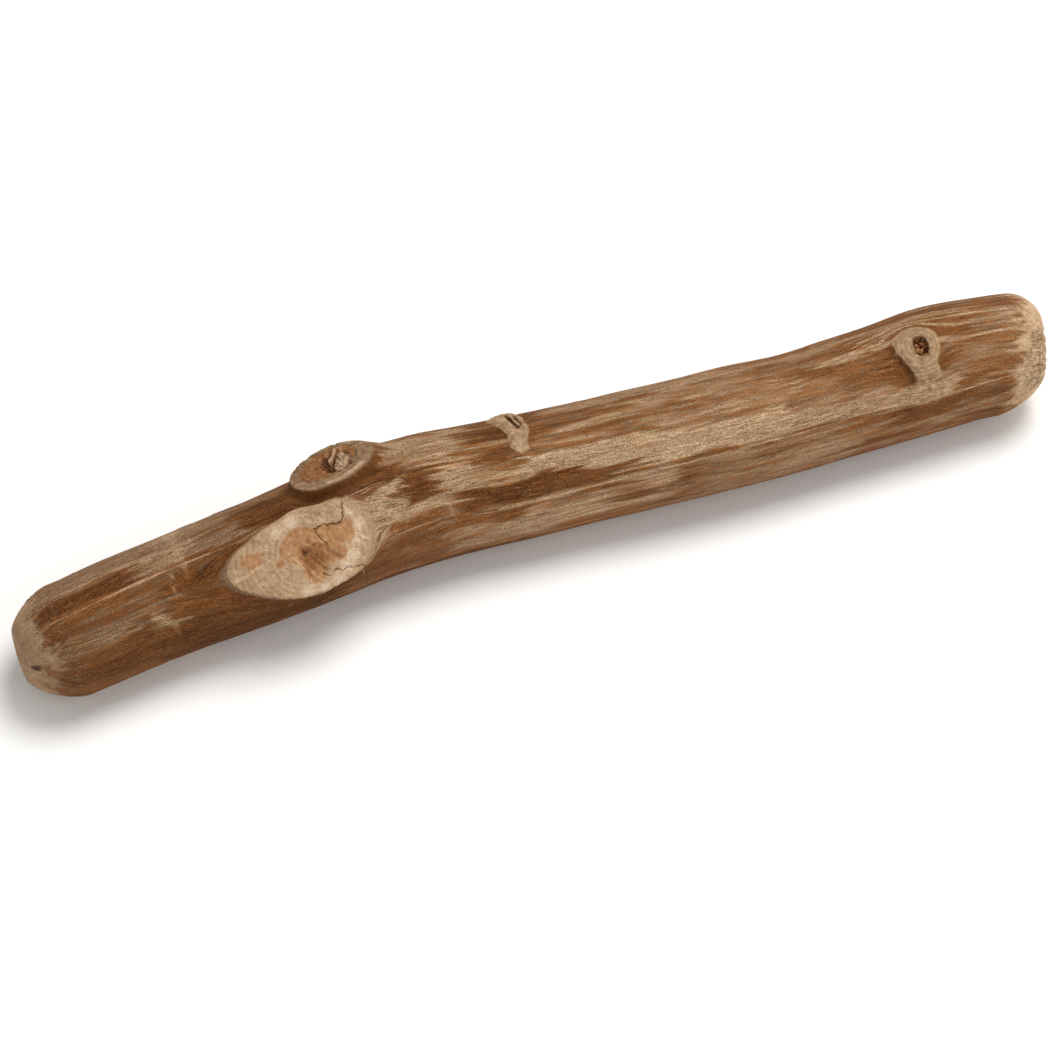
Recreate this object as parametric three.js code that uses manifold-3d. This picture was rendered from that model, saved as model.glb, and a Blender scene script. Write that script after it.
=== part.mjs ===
// A cinnamon wood chew stick: one length of branch with its bark rubbed off, sawn and rounded at both ends.
// Millimetres, +Z up. The stick lies along X with its two large knots to the front, which is -Y, and the
// origin is at the middle of its box, on the surface that it rests on. Distances called along are measured
// from the left end, and angles go round the stick from the top, 0, through the front, 90.
import * as THREE from 'three';
import { mergeVertices } from 'three/addons/utils/BufferGeometryUtils.js';
import Module from 'manifold-3d';

// Driving dimensions
const stickLength = 200;
const bend = [-0.3, 0.5, 1.9, 3, 3.5, 4.2, 5.5, 6.9, 7.1, 6.5, 5.5,
  4.7, 3.9, 3.2, 2.7, 2.3, 2.5, 2.7, 2.9, 2.3, 0.6]; // how far the middle sits to the back, every 10 mm
const girth = [10.6, 10.85, 11.05, 11.1, 11.35, 11.55, 11.85, 12.2, 12.1, 11.75, 11.6,
  11.4, 11.45, 11.4, 11.4, 11.1, 11.15, 11.35, 11.6, 10.95, 10.8]; // radius, every 10 mm
const lift = [0.3, -0.2, -0.25, -0.2, 0.3, 0.4, 0.1, -0.25, -0.25, -0.25, 0,
  0.4, 0.55, 0.6, 0.6, 0.45, 0.1, -0.25, -0.25, 0, 0.3]; // underside above the surface, every 10 mm
const leftEnd = { depth: 9, face: 0.43, rings: 6 }; // the sawn ends' rounding; face is a share of the radius
const rightEnd = { depth: 7, face: 0.56, rings: 5 };
const slant = { slope: 0.2, toward: -60, from: 178, to: 192 }; // the right end is sawn a little askew

// Lengthwise lobes of the trunk: height, how many round the stick, twist per mm and where they start
const lobes = [
  { height: 0.2, count: 2, twist: 0.012, start: -1.8 },
  { height: 0.12, count: 3, twist: -0.021, start: 1 },
  { height: 0.07, count: 5, twist: 0.035, start: 0 },
];

// The two large knots are branch stubs cut off flat. reach is from the trunk's axis to the cut, lean tips
// the cut along the stick and turn turns its outline. rim and flare go round the cut every 30 degrees from
// the right, through the underside: the outline's radius, and how wide its wall spreads onto the trunk.
const frontStub = {
  along: 53.5, angle: 37, reach: 12.5, lean: -3, turn: 5,
  rim: [12.5, 11, 8.7, 8.2, 8.9, 11.2, 15.2, 10.4, 8, 8, 8.7, 12.2],
  flare: [6, 4.5, 3.4, 3, 2.8, 2.6, 2.4, 2.2, 2, 2, 3, 9],
};
const upperStub = {
  along: 65.2, angle: -23, reach: 14.4, lean: -4, turn: 0,
  rim: [7.6, 7, 6.1, 5.9, 6.3, 8.2, 8.8, 7.1, 5.4, 5, 5.3, 6.2],
  flare: [7, 4, 2.2, 1.8, 1.6, 1.4, 1.2, 1.8, 3, 4, 5, 7],
};
const rotPit = { stub: upperStub, right: 0.9, down: -0.2, length: 2.9, width: 2.3, depth: 1.8 };

// The small knot is a low collar, drawn out into a tail down the front, round a hole
const collar = {
  along: 175.2, angle: 7, reach: 11.6, lean: 0, turn: 4, height: 0.75,
  rim: [3.4, 3.5, 4.4, 8.5, 4.8, 3.7, 3.5, 3.4, 3.3, 3.3, 3.3, 3.4],
  flare: [0.9, 0.9, 1, 1.4, 1, 0.8, 0.8, 0.9, 1.2, 1.4, 1.2, 0.9],
};
const collarHole = { stub: collar, right: 0.2, down: 0, length: 1.6, width: 2.1, depth: 1.8 };

// A healed twig trace that arches over the top: [along, angle, half width], from the back to the front
const twigScar = {
  height: 0.55,
  path: [[96.5, -85, 1.6], [97.4, -58, 2.8], [98.6, -30, 2.4], [98.8, -8, 2], [98.8, 5, 1.2]],
};

// How finely the blanks are divided: the trunk's segments stand closer together at the front
const trunkSegments = 46;
const frontBias = { share: 0.35, angle: 25 };
const ringZones = [{ from: 94, to: 103, step: 1.3 }, { from: 45, to: 80, step: 2.6 }];
const widestStep = 3.3;
const stubSegments = 48;
const pitSegments = 16;
const footDepth = 0.35; // how far a flare's foot and a stub's root reach into the trunk
const rootDepth = 5;
const smallestDetail = 0.02; // slivers finer than this are taken out where the pieces join

const wasm = await Module();
wasm.setup();

const degrees = Math.PI / 180;
const up = new THREE.Vector3(0, 0, 1);

// A smooth value read from a list of evenly spaced ones, by the same rule as a Catmull-Rom curve
function splineValue(values, position, closed) {
  const count = values.length;
  const last = closed ? count : count - 1;
  const index = Math.min(Math.floor(position), last - 1);
  const pick = (i) => values[closed ? (i + count) % count : Math.min(Math.max(i, 0), count - 1)];
  const [p0, p1, p2, p3] = [pick(index - 1), pick(index), pick(index + 1), pick(index + 2)];
  const t = position - index;
  const slope1 = (p2 - p0) / 2;
  const slope2 = (p3 - p1) / 2;
  return (2 * p1 - 2 * p2 + slope1 + slope2) * t ** 3
    + (-3 * p1 + 3 * p2 - 2 * slope1 - slope2) * t ** 2 + slope1 * t + p1;
}

function alongStick(values, along) {
  const clamped = THREE.MathUtils.clamp(along, 0, stickLength);
  return splineValue(values, (clamped / stickLength) * (values.length - 1), false);
}

// The trunk without its knots
function trunkRadius(along, angle) {
  let radius = alongStick(girth, along);
  for (const lobe of lobes) {
    radius += lobe.height * Math.cos(lobe.count * angle * degrees + lobe.twist * along + lobe.start);
  }
  return radius;
}

// Where the axis passes, with its direction and the level direction to the front
function axisFrame(along) {
  const centre = new THREE.Vector3(
    along - stickLength / 2,
    alongStick(bend, along),
    trunkRadius(along, 180) + alongStick(lift, along),
  );
  const step = 0.25;
  const slope = (alongStick(bend, along + step) - alongStick(bend, along - step)) / (2 * step);
  const tangent = new THREE.Vector3(1, slope, 0).normalize();
  const front = new THREE.Vector3(tangent.y, -tangent.x, 0);
  return { centre, tangent, front };
}

// The way out from the axis at an angle round the stick
function outward(frame, angle) {
  return turned(up, frame.front, angle * degrees);
}

// A direction turned by an angle towards another that is square to it
function turned(direction, toward, angle) {
  return direction.clone().multiplyScalar(Math.cos(angle)).addScaledVector(toward, Math.sin(angle));
}

// The flat cut of a stub: a point on it, its normal and the two directions in it, right and down
function cutFrame(stub) {
  const frame = axisFrame(stub.along);
  const direction = outward(frame, stub.angle);
  const around = outward(frame, stub.angle + 90);
  const point = frame.centre.clone().addScaledVector(direction, stub.reach);
  const lean = stub.lean * degrees;
  const normal = turned(direction, frame.tangent, lean);
  const level = turned(frame.tangent, direction, -lean);
  const turn = stub.turn * degrees;
  const right = turned(level, around, turn);
  const down = turned(around, level, -turn);
  return { point, normal, right, down };
}

// The place on the trunk that a point stands over: its frame, the way out to it, and both distances
function overTrunk(point) {
  let along = point.x + stickLength / 2;
  for (let round = 0; round < 4; round += 1) {
    const frame = axisFrame(along);
    along += point.clone().sub(frame.centre).dot(frame.tangent);
  }
  const frame = axisFrame(along);
  const offset = point.clone().sub(frame.centre);
  const angle = Math.atan2(offset.dot(frame.front), offset.z) / degrees;
  const radius = trunkRadius(along, angle);
  return { frame, direction: outward(frame, angle), radius, distance: offset.length() };
}

function twigScarHeight(along, angle) {
  const { path, height } = twigScar;
  if (angle < path[0][1] || angle > path[path.length - 1][1]) return 0;
  const next = path.findIndex((point) => point[1] >= angle && point !== path[0]);
  const share = (angle - path[next - 1][1]) / (path[next][1] - path[next - 1][1]);
  const middle = THREE.MathUtils.lerp(path[next - 1][0], path[next][0], share);
  const width = THREE.MathUtils.lerp(path[next - 1][2], path[next][2], share);
  return height * (1 - THREE.MathUtils.smoothstep(Math.abs(along - middle) / width, 0.6, 1.1));
}

// The share of the full radius at a distance from a sawn end
function endShare(end, distance) {
  if (distance >= end.depth) return 1;
  const curve = (1 - (1 - distance / end.depth) ** 1.5) ** (1 / 1.5);
  return end.face + (1 - end.face) * curve;
}

// Stations of the blank's rings, close together at the knots
function ringStations() {
  const stations = [0];
  for (let i = 1; i <= leftEnd.rings; i += 1) stations.push(leftEnd.depth * (i / leftEnd.rings) ** 1.5);
  const rightStart = stickLength - rightEnd.depth;
  let along = leftEnd.depth;
  while (along < rightStart) {
    const steps = ringZones.map((zone) => {
      const away = Math.max(zone.from - along, along - zone.to, 0);
      return zone.step + away * 0.35;
    });
    along += Math.min(widestStep, ...steps);
    if (along < rightStart - 0.7) stations.push(along);
  }
  for (let i = rightEnd.rings; i >= 0; i -= 1) {
    stations.push(stickLength - rightEnd.depth * (i / rightEnd.rings) ** 1.5);
  }
  return stations;
}

// A straight turned blank of radius 1, rounded at the ends, standing on its left end
function turnedBlank() {
  const outline = ringStations().map((along) => {
    const share = Math.min(endShare(leftEnd, along), endShare(rightEnd, stickLength - along));
    return new THREE.Vector2(share, along);
  });
  outline.unshift(new THREE.Vector2(0, 0));
  outline.push(new THREE.Vector2(0, stickLength));
  return new THREE.LatheGeometry(outline, trunkSegments);
}

// A turned blank's first and last points have to get the same angle, so that its seam closes
function seamless(angle) {
  return Math.round(angle * 1e6) / 1e6;
}

// Each point of the blank goes to its place on the bent trunk
function shapeTrunk(geometry) {
  const slantDirection = outward(axisFrame(stickLength), slant.toward);
  const position = geometry.getAttribute('position');
  const point = new THREE.Vector3();
  for (let i = 0; i < position.count; i += 1) {
    const share = Math.hypot(position.getX(i), position.getZ(i));
    const along = position.getY(i);
    const blankAngle = seamless(Math.atan2(position.getX(i), position.getZ(i))) / degrees;
    const shift = (frontBias.share / degrees) * Math.sin((blankAngle - frontBias.angle) * degrees);
    const angle = THREE.MathUtils.euclideanModulo(blankAngle - shift + 180, 360) - 180;
    const frame = axisFrame(along);
    const radius = trunkRadius(along, angle) + twigScarHeight(along, angle);
    point.copy(frame.centre).addScaledVector(outward(frame, angle), radius * share);
    const slanted = THREE.MathUtils.smoothstep(along, slant.from, slant.to) * slant.slope;
    point.x += slanted * point.clone().sub(frame.centre).dot(slantDirection);
    point.z = Math.max(point.z, 0);
    position.setXYZ(i, point.x, point.y, point.z);
  }
  return geometry;
}

// A disc that is turned round its middle, in shares of an outline's radius: 1 is the rim and 2 is the foot
// of the flare. The last ring and the closing point lie inside the trunk.
function stubBlank(innerShares, outerShares) {
  const top = [...innerShares, 1, ...outerShares].map((share) => new THREE.Vector2(share, 0));
  const bottom = [new THREE.Vector2(0, -1), new THREE.Vector2(1, -1)];
  return new THREE.LatheGeometry([...bottom, ...top.reverse()], stubSegments);
}

// The blank is laid in the cut, its wall drawn down to the trunk. Where the top isn't sawn flat but follows
// the trunk, as on the collar, topHeight says how high it stands over the trunk.
function shapeStub(geometry, stub) {
  const cut = cutFrame(stub);
  const position = geometry.getAttribute('position');
  for (let i = 0; i < position.count; i += 1) {
    const share = Math.hypot(position.getX(i), position.getZ(i));
    const turn = seamless(Math.atan2(position.getZ(i), position.getX(i)));
    const clock = (turn / (30 * degrees) + 12) % 12;
    const rim = splineValue(stub.rim, clock, true);
    const outside = Math.max(share - 1, 0);
    const size = Math.min(share, 1) * rim + outside * splineValue(stub.flare, clock, true);
    const point = cut.point.clone().addScaledVector(cut.right, size * Math.cos(turn))
      .addScaledVector(cut.down, size * Math.sin(turn));
    const place = overTrunk(point);
    const topHeight = stub.height ?? place.distance - place.radius;
    let height = topHeight * (1 - outside) ** 2 - footDepth * outside;
    if (position.getY(i) < 0) height = -rootDepth;
    point.copy(place.frame.centre).addScaledVector(place.direction, place.radius + height);
    position.setXYZ(i, point.x, point.y, point.z);
  }
  return geometry;
}

// A round-bottomed plug that takes a pit out of a stub
function pitPlug(pit) {
  const outline = [[0, -1], [0.5, -0.85], [0.85, -0.45], [1, 0], [1.2, 1], [0, 1]];
  const points = outline.map(([radius, height]) => new THREE.Vector2(radius, height));
  const cut = cutFrame(pit.stub);
  const origin = cut.point.clone().addScaledVector(cut.right, pit.right).addScaledVector(cut.down, pit.down);
  const place = new THREE.Matrix4().makeBasis(
    cut.right.clone().multiplyScalar(pit.length),
    cut.normal.clone().multiplyScalar(pit.depth),
    cut.down.clone().multiplyScalar(pit.width),
  ).setPosition(origin);
  return new THREE.LatheGeometry(points, pitSegments).applyMatrix4(place);
}

function solidFrom(geometry) {
  geometry.deleteAttribute('normal');
  geometry.deleteAttribute('uv');
  const merged = mergeVertices(geometry, 1e-4);
  return new wasm.Manifold(new wasm.Mesh({
    numProp: 3,
    vertProperties: new Float32Array(merged.getAttribute('position').array),
    triVerts: new Uint32Array(merged.index.array),
  }));
}

function geometryFrom(solid) {
  const mesh = solid.getMesh();
  const geometry = new THREE.BufferGeometry();
  geometry.setAttribute('position', new THREE.BufferAttribute(mesh.vertProperties, 3));
  geometry.setIndex(new THREE.BufferAttribute(mesh.triVerts, 1));
  geometry.computeVertexNormals();
  return geometry;
}

function buildStick() {
  const topShares = [0, 0.5];
  const flareShares = [1.12, 1.3, 1.55, 1.8, 2];
  let solid = solidFrom(shapeTrunk(turnedBlank()));
  for (const stub of [frontStub, upperStub, collar]) {
    solid = solid.add(solidFrom(shapeStub(stubBlank(topShares, flareShares), stub)));
  }
  for (const pit of [rotPit, collarHole]) {
    solid = solid.subtract(solidFrom(pitPlug(pit)));
  }
  return geometryFrom(solid.asOriginal().simplify(smallestDetail));
}

function centreOnOrigin(geometry) {
  geometry.computeBoundingBox();
  const middle = geometry.boundingBox.getCenter(new THREE.Vector3());
  return geometry.translate(-middle.x, -middle.y, -geometry.boundingBox.min.z);
}

const wood = new THREE.MeshStandardMaterial({ color: 0x8c6440, roughness: 0.75, metalness: 0 });
const stick = new THREE.Mesh(centreOnOrigin(buildStick()), wood);
stick.name = 'stick';

const chewStick = new THREE.Group();
chewStick.add(stick);

export default chewStick;
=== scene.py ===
from math import cos, pi, radians, sin

import bmesh
import bpy
import numpy as np
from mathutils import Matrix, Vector, noise
from mathutils.bvhtree import BVHTree


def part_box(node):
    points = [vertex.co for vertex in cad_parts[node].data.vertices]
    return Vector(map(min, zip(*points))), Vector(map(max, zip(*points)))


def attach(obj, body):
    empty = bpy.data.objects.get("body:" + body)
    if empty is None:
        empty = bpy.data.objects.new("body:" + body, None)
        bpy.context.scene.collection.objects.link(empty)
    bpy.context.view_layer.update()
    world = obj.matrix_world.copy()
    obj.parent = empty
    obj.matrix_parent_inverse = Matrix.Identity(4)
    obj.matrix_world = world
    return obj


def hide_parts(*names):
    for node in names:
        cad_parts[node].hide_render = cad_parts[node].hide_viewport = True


# A cinnamon wood chew stick on a pale floor. Its shape is worked out in millimetres in the stick's own
# measure: along it from the left end, and in degrees round it from the top, 0, through the front, 90.
mm = 0.001
mmPerDegree = 0.2  # round the bark
far = 9  # stands for any distance that is too great to matter

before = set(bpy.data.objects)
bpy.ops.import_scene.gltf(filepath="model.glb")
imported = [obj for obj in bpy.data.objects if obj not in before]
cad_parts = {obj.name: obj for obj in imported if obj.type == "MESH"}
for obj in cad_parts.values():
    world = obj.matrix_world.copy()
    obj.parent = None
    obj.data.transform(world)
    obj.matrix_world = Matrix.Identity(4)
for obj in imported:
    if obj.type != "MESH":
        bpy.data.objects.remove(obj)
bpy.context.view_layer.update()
print("frame loaded:", sorted(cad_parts))


# Small sums that everything uses

def smoothStep(low, high, value):
    share = np.clip((value - low) / (high - low), 0, 1)
    return share * share * (3 - 2 * share)


def fadeOut(low, high, value):  # 1 up to low, 0 from high on
    return 1 - smoothStep(low, high, value)


def bell(value, width):
    return np.exp(-(value / width) ** 2)


def splineValue(values, position, closed=False):
    values = np.asarray(values, float)
    count = len(values)
    index = np.minimum(np.floor(position).astype(int), (count if closed else count - 1) - 1)

    def pick(i):
        return values[i % count] if closed else values[np.clip(i, 0, count - 1)]

    p0, p1, p2, p3 = pick(index - 1), pick(index), pick(index + 1), pick(index + 2)
    t = position - index
    slope1, slope2 = (p2 - p0) / 2, (p3 - p1) / 2
    return ((2 * p1 - 2 * p2 + slope1 + slope2) * t ** 3
            + (-3 * p1 + 3 * p2 - 2 * slope1 - slope2) * t ** 2 + slope1 * t + p1)


def pathDistance(u, v, path):
    nearest = np.full(u.shape, 1e3)
    for (u0, v0), (u1, v1) in zip(path, path[1:]):
        du, dv = u1 - u0, v1 - v0
        share = np.clip(((u - u0) * du + (v - v0) * dv) / (du * du + dv * dv), 0, 1)
        nearest = np.minimum(nearest, np.hypot(u - u0 - share * du, v - v0 - share * dv))
    return nearest


def pathCover(u, v, path, halfWidth, low=0.3, high=1, ragged=0):  # 1 on the path, 0 beside it
    return fadeOut(low, high, pathDistance(u, v, path) / halfWidth + ragged)


def roundOutline(corners):  # a smooth closed outline through a few corners
    steps = np.arange(0, len(corners), 0.25)
    columns = [splineValue(column, steps, closed=True) for column in zip(*corners)]
    return list(zip(*columns))


def depthInside(u, v, corners):  # how far inside the outline, negative outside
    outline = roundOutline(corners)
    outline = outline + outline[:1]
    inside = np.zeros(u.shape, bool)
    for (u0, v0), (u1, v1) in zip(outline, outline[1:]):
        if v0 != v1:
            inside ^= ((v0 > v) != (v1 > v)) & (u < u0 + (u1 - u0) * (v - v0) / (v1 - v0))
    distance = pathDistance(u, v, outline)
    return np.where(inside, distance, -distance)


def clockRadius(radii, u, v):  # an outline's radius towards each point, by its twelve radii
    return splineValue(radii, np.degrees(np.arctan2(v, u)) / 30 % 12, closed=True)


def noiseAt(points, scale, start=0.0):  # scale is the size of a lump in mm, one number or three
    return np.array([noise.noise(p) for p in (points / scale + start).tolist()])


# The trunk

stick = {
    "length": 200,
    "bend": [-0.3, 0.5, 1.9, 3, 3.5, 4.2, 5.5, 6.9, 7.1, 6.5, 5.5,
             4.7, 3.9, 3.2, 2.7, 2.3, 2.5, 2.7, 2.9, 2.3, 0.6],  # towards the back, every 10 mm
    "girth": [10.6, 10.85, 11.05, 11.1, 11.35, 11.55, 11.85, 12.2, 12.1, 11.75, 11.6,
              11.4, 11.45, 11.4, 11.4, 11.1, 11.15, 11.35, 11.6, 10.95, 10.8],  # radius, every 10 mm
    "grainRadius": 11.4,  # the even radius at which the wood's patterns are read
    "lift": [0.3, -0.2, -0.25, -0.2, 0.3, 0.4, 0.1, -0.25, -0.25, -0.25, 0,
             0.4, 0.55, 0.6, 0.6, 0.45, 0.1, -0.25, -0.25, 0, 0.3],  # underside over the floor
    # each lobe's height, count, twist and start
    "lobes": [(0.2, 2, 0.012, -1.8), (0.12, 3, -0.021, 1), (0.07, 5, 0.035, 0)],
    "leftEnd": {"depth": 9, "face": 0.43},  # the rounding's depth, and the face as a share of the radius
    "rightEnd": {"depth": 7, "face": 0.56},
    "bulge": 1.5,  # how full the rounding is: 1 is a plain bevel, 2 a quarter of a circle
    "slant": {"slope": 0.2, "toward": -60, "from": 178, "to": 192},  # the right end is sawn askew
}
up = np.array([0, 0, 1.0])


def alongStick(values, along):
    return splineValue(values, np.clip(along / stick["length"], 0, 1) * (len(values) - 1))


def trunkRadius(along, angle):
    radius = alongStick(stick["girth"], along)
    for height, count, twist, start in stick["lobes"]:
        radius = radius + height * np.cos(count * np.radians(angle) + twist * along + start)
    return radius


def axisFrame(along):  # the axis point, and the level directions along the stick and to the front
    along = np.asarray(along, float)
    height = trunkRadius(along, 180) + alongStick(stick["lift"], along)
    centre = np.stack([along - stick["length"] / 2, alongStick(stick["bend"], along), height], -1)
    step = 0.25
    slope = (alongStick(stick["bend"], along + step) - alongStick(stick["bend"], along - step)) / (2 * step)
    level = 1 / np.sqrt(1 + slope * slope)
    tangent = np.stack([level, slope * level, 0 * slope], -1)
    front = np.stack([slope * level, -level, 0 * slope], -1)
    return centre, tangent, front


def outward(front, angle):
    turn = np.radians(np.asarray(angle, float))[..., None]
    return front * np.sin(turn) + up * np.cos(turn)


def endShare(along):
    share = np.ones_like(along)
    bulge = stick["bulge"]
    for end, distance in ((stick["leftEnd"], along), (stick["rightEnd"], stick["length"] - along)):
        curve = (1 - (1 - np.clip(distance / end["depth"], 0, 1)) ** bulge) ** (1 / bulge)
        share = np.minimum(share, end["face"] + (1 - end["face"]) * curve)
    return share


# The knots. Points on a cut are in mm to the right and down from its middle, as the camera sees it

frontKnot = {
    "along": 53.5, "angle": 37, "reach": 12.5, "lean": -3, "turn": 5,
    "rim": [12.5, 11, 8.7, 8.2, 8.9, 11.2, 15.2, 10.4, 8, 8, 8.7, 12.2],
    "flare": [6, 4.5, 3.4, 3, 2.8, 2.6, 2.4, 2.2, 2, 2, 3, 9],
    "fringe": 1.3, "fringeAt": [1.2, 0.8, 0.5, 0.5, 0.6, 0.8, 1.4, 0.6, 0.4, 0.6, 0.9, 1.2],
    "pith": (-0.5, 0.3), "brownest": (1.2, 1.5),
    "heartDepth": 0.14, "pithDepth": 0.5, "foldDepth": 0.3, "scratchHeight": 0.08,
    "wornTone": 0.22, "paleTone": 0.9,
    "heart": [
        (-4.9, -1.6), (-3.2, -3.3), (-1.8, -4.3), (0.4, -4.5), (2.8, -3.6), (5, -3.7), (7.5, -3.2),
        (8.5, -3.9), (9.3, -2.2), (9, 0), (6.8, 0.2), (6.2, 1), (7, 1.9), (6.2, 3), (3.6, 3.2), (2.8, 4.4),
        (1.6, 5.9), (0, 6.1), (-0.8, 4.8), (-1.7, 3.2), (-2.6, 1.5), (-4.2, 0.2),
    ],
    "spots": [
        (-10.2, -1.2, 1.9, 0.85), (-8.8, -1.5, 1, 0.6), (-10.4, 1.3, 1.4, 0.4), (-5.3, 1, 0.9, 0.75),
        (-8.7, 2.6, 1.3, 0.35), (-2.5, 5.6, 1, 0.25),
    ],  # right, down, size, strength
    "pale": [
        (-1.4, -5.9, 1.7), (-4.4, -5, 1.4), (10.4, -2, 1.4), (9.6, 0.6, 1.3), (8, 3, 1.5), (6.4, 4.6, 1.5),
        (4.4, 6.6, 1.6), (1.4, 7.2, 1.5), (-1.6, 7, 1.6), (-2.7, 0.5, 0.6), (-2, 2, 0.6), (9.4, -4.6, 1),
    ],
    "worn": [
        (-12.6, 3.2, 2.2), (-8.6, 5.4, 1.8), (3, -6.6, 1.5), (6, -5.6, 1.3), (-9, -4.4, 1.2),
        (-13, -1.8, 1.8), (-11.6, 0.8, 1.6),
    ],
    "cracks": [
        (0.13, [(8.7, -6.5), (8.4, -5.9), (8.5, -5.2), (8.2, -4.8), (8.1, -4), (7.6, -3.4)]),
        (0.14, [(7.5, -3.3), (6.6, -3.2), (5.9, -3.5), (5, -3.5)]),
        (0.1, [(5, -3.5), (4.3, -3.9), (3.7, -3.6), (3.2, -3.7)]),
        (0.14, [(3.3, -3.7), (2.9, -3.4), (2.4, -3.5)]),
        (0.1, [(2.5, -3.1), (2.8, -2.4), (2.9, -1.9), (3.3, -1.2)]),
        (0.09, [(3.3, -1.2), (3.8, -0.5), (4.1, 0.2)]), (0.1, [(1.8, 4.9), (2.4, 5.3), (2.9, 5.4)]),
        (0.1, [(3.7, 5), (4.3, 4.7), (4.9, 4.9), (5.2, 5.2)]),
        (0.09, [(5.6, 5.3), (6.2, 5), (6.8, 5.1), (7.4, 5.4)]), (0.1, [(7.9, 5.4), (8.7, 5.5), (9.5, 5.8)]),
    ],  # half width, and the path
    "folds": [
        (0.32, 0.55, [(0.6, 1.2), (1.5, 2.6), (2.7, 4.3)]), (0.28, 0.5, [(1.6, 1), (2.3, 2.2), (3.2, 3.6)]),
        (0.3, 0.3, [(-0.8, 3.1), (-0.6, 4.2), (-0.1, 5.5)]),
        (0.7, 0.6, [(3.8, 0.7), (4.8, 1.9), (5.8, 2.8)]),
        (0.25, 0.25, [(-0.8, -3.2), (-0.1, -2.2), (0.6, -1.3)]),
        (0.3, 0.3, [(-0.1, 0.1), (1.2, -0.8), (3.3, -0.1), (4.1, 1)]),
        (0.3, 0.2, [(-7.4, 1.2), (-6.2, 3), (-4.6, 4.6)]),
    ],  # half width, strength, path
    "scratches": [
        (0.28, 0.45, [(-14.6, 1.5), (-11.9, 1.2), (-10.1, 0.3), (-8.3, -0.1)]),
        (0.3, 0.8, [(-2.9, 0.2), (-2.1, 1.6), (-1.4, 2.9)]), (0.25, 0.6, [(-3.9, -0.2), (-2.9, -0.5)]),
        (0.22, 0.5, [(0.6, -1.1), (1.9, -1.4), (3.2, -1)]),
        (0.25, 0.6, [(-0.2, 3.6), (0.4, 4.8), (1.2, 5.6)]),
        (0.25, 0.7, [(9.6, -0.6), (10.6, 0.4), (11.4, 1.1)]),
    ],
}
upperKnot = {
    "along": 65.2, "angle": -23, "reach": 14.4, "lean": -4, "turn": 0,
    "rim": [7.6, 7, 6.1, 5.9, 6.3, 8.2, 8.8, 7.1, 5.4, 5, 5.3, 6.2],
    "flare": [7, 4, 2.2, 1.8, 1.6, 1.4, 1.2, 1.8, 3, 4, 5, 7],
    "heart": [
        (-6.4, -1), (-4.5, -3), (-2.2, -4.1), (1.6, -3.9), (3.6, -3.1), (4.7, -1.4), (4.6, 0.5), (3.1, 2),
        (1.3, 2.9), (-1.8, 3.5), (-3.9, 3.3), (-5.7, 2.4), (-6.6, 0.9),
    ],
    "pit": {"right": 0.5, "down": 0.2, "length": 3.2, "width": 3.3, "depth": 1.9},
    "chunk": [
        (0.9, -1.1), (1.7, -2.2), (2.8, -1.6), (3.4, 0.2), (2.6, 1.8), (1, 2.7), (-0.6, 2.9), (-0.5, 1.2),
    ],
    "ridge": [(4.2, 4.1), (2.3, 4.9), (0.4, 5.2), (-1.4, 5.3), (-3.3, 5)],
    "splinter": [(1.7, -3), (0.8, -2.3), (-0.2, -1.5)], "splinterWidth": 0.42, "splinterHeight": 1.2,
    "ridgeHeight": 0.1, "grooveWidth": 0.22, "grooveDepth": 0.16,
    "grooves": [(-0.05, 1), (0.9, 0.35), (-1.1, 0.35)],  # how far inside the heart, strength
    "cracks": [
        (0.24, [(-4.6, -0.8), (-3.9, -0.45), (-3.1, -0.25)]), (0.22, [(1.2, -1.4), (1.4, -0.6), (1.4, 0.2)]),
    ],
}
collar = {
    "along": 175.2, "angle": 7, "reach": 11.6, "lean": 0, "turn": 4, "height": 0.6, "grain": 3.6,
    "outline": [
        (170.9, 0), (171.2, -8), (172.9, -13), (174.7, -15.5), (176.9, -13), (178.6, -6), (179.2, 2),
        (179, 13), (178.1, 21), (177.4, 29), (178.2, 38), (180.4, 46), (178, 54), (174.6, 59), (171.4, 53),
        (170.4, 44), (173.2, 38), (172.7, 29), (171.9, 18), (171.2, 9),
    ],  # along, angle
    "fade": (24, 48),  # the angles over which the tail, which hangs to the front, sinks into the bark
    "fold": [(170.9, 2), (171.4, 12), (172, 22), (172.6, 31), (173.3, 40)],
    "foldDepth": 0.22, "lipHeight": 0.1,
    "pit": {"right": 0.45, "down": 0, "length": 1.45, "width": 2, "depth": 1.7},
}
knots = {"front": frontKnot, "upper": upperKnot}

twigScar = {
    "height": 0.5, "slotDepth": 0.55,
    "outline": [
        (93.7, -38), (94.3, -46), (95.4, -55), (96.8, -63), (98.2, -64), (99.4, -56), (100, -42),
        (100.5, -28), (100.8, -12), (99.9, -1), (99.8, 8), (98.4, 12), (97.1, 8), (96.4, 1), (96.5, -10),
        (95.9, -19), (94.9, -28),
    ],
    "slots": [
        (0.3, [(97.5, -47), (97.8, -38)]), (0.5, [(97.8, -38), (98.1, -29)]),
        (0.36, [(98.1, -29), (98.8, -17)]), (0.2, [(98.9, -37), (99.2, -28), (99.7, -19)]),
    ],
}


def roundStick(corners):  # along and angle to mm along and round the stick
    return [(along, angle * mmPerDegree) for along, angle in corners]


def cutFrame(knot):  # a point on the flat cut, its normal, and its directions right and down
    centre, tangent, front = axisFrame(knot["along"])
    direction = outward(front, knot["angle"])
    around = outward(front, knot["angle"] + 90)
    lean, turn = radians(knot["lean"]), radians(knot["turn"])
    normal = direction * cos(lean) + tangent * sin(lean)
    level = tangent * cos(lean) - direction * sin(lean)
    right = level * cos(turn) + around * sin(turn)
    down = around * cos(turn) - level * sin(turn)
    return centre + direction * knot["reach"], normal, right, down


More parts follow.
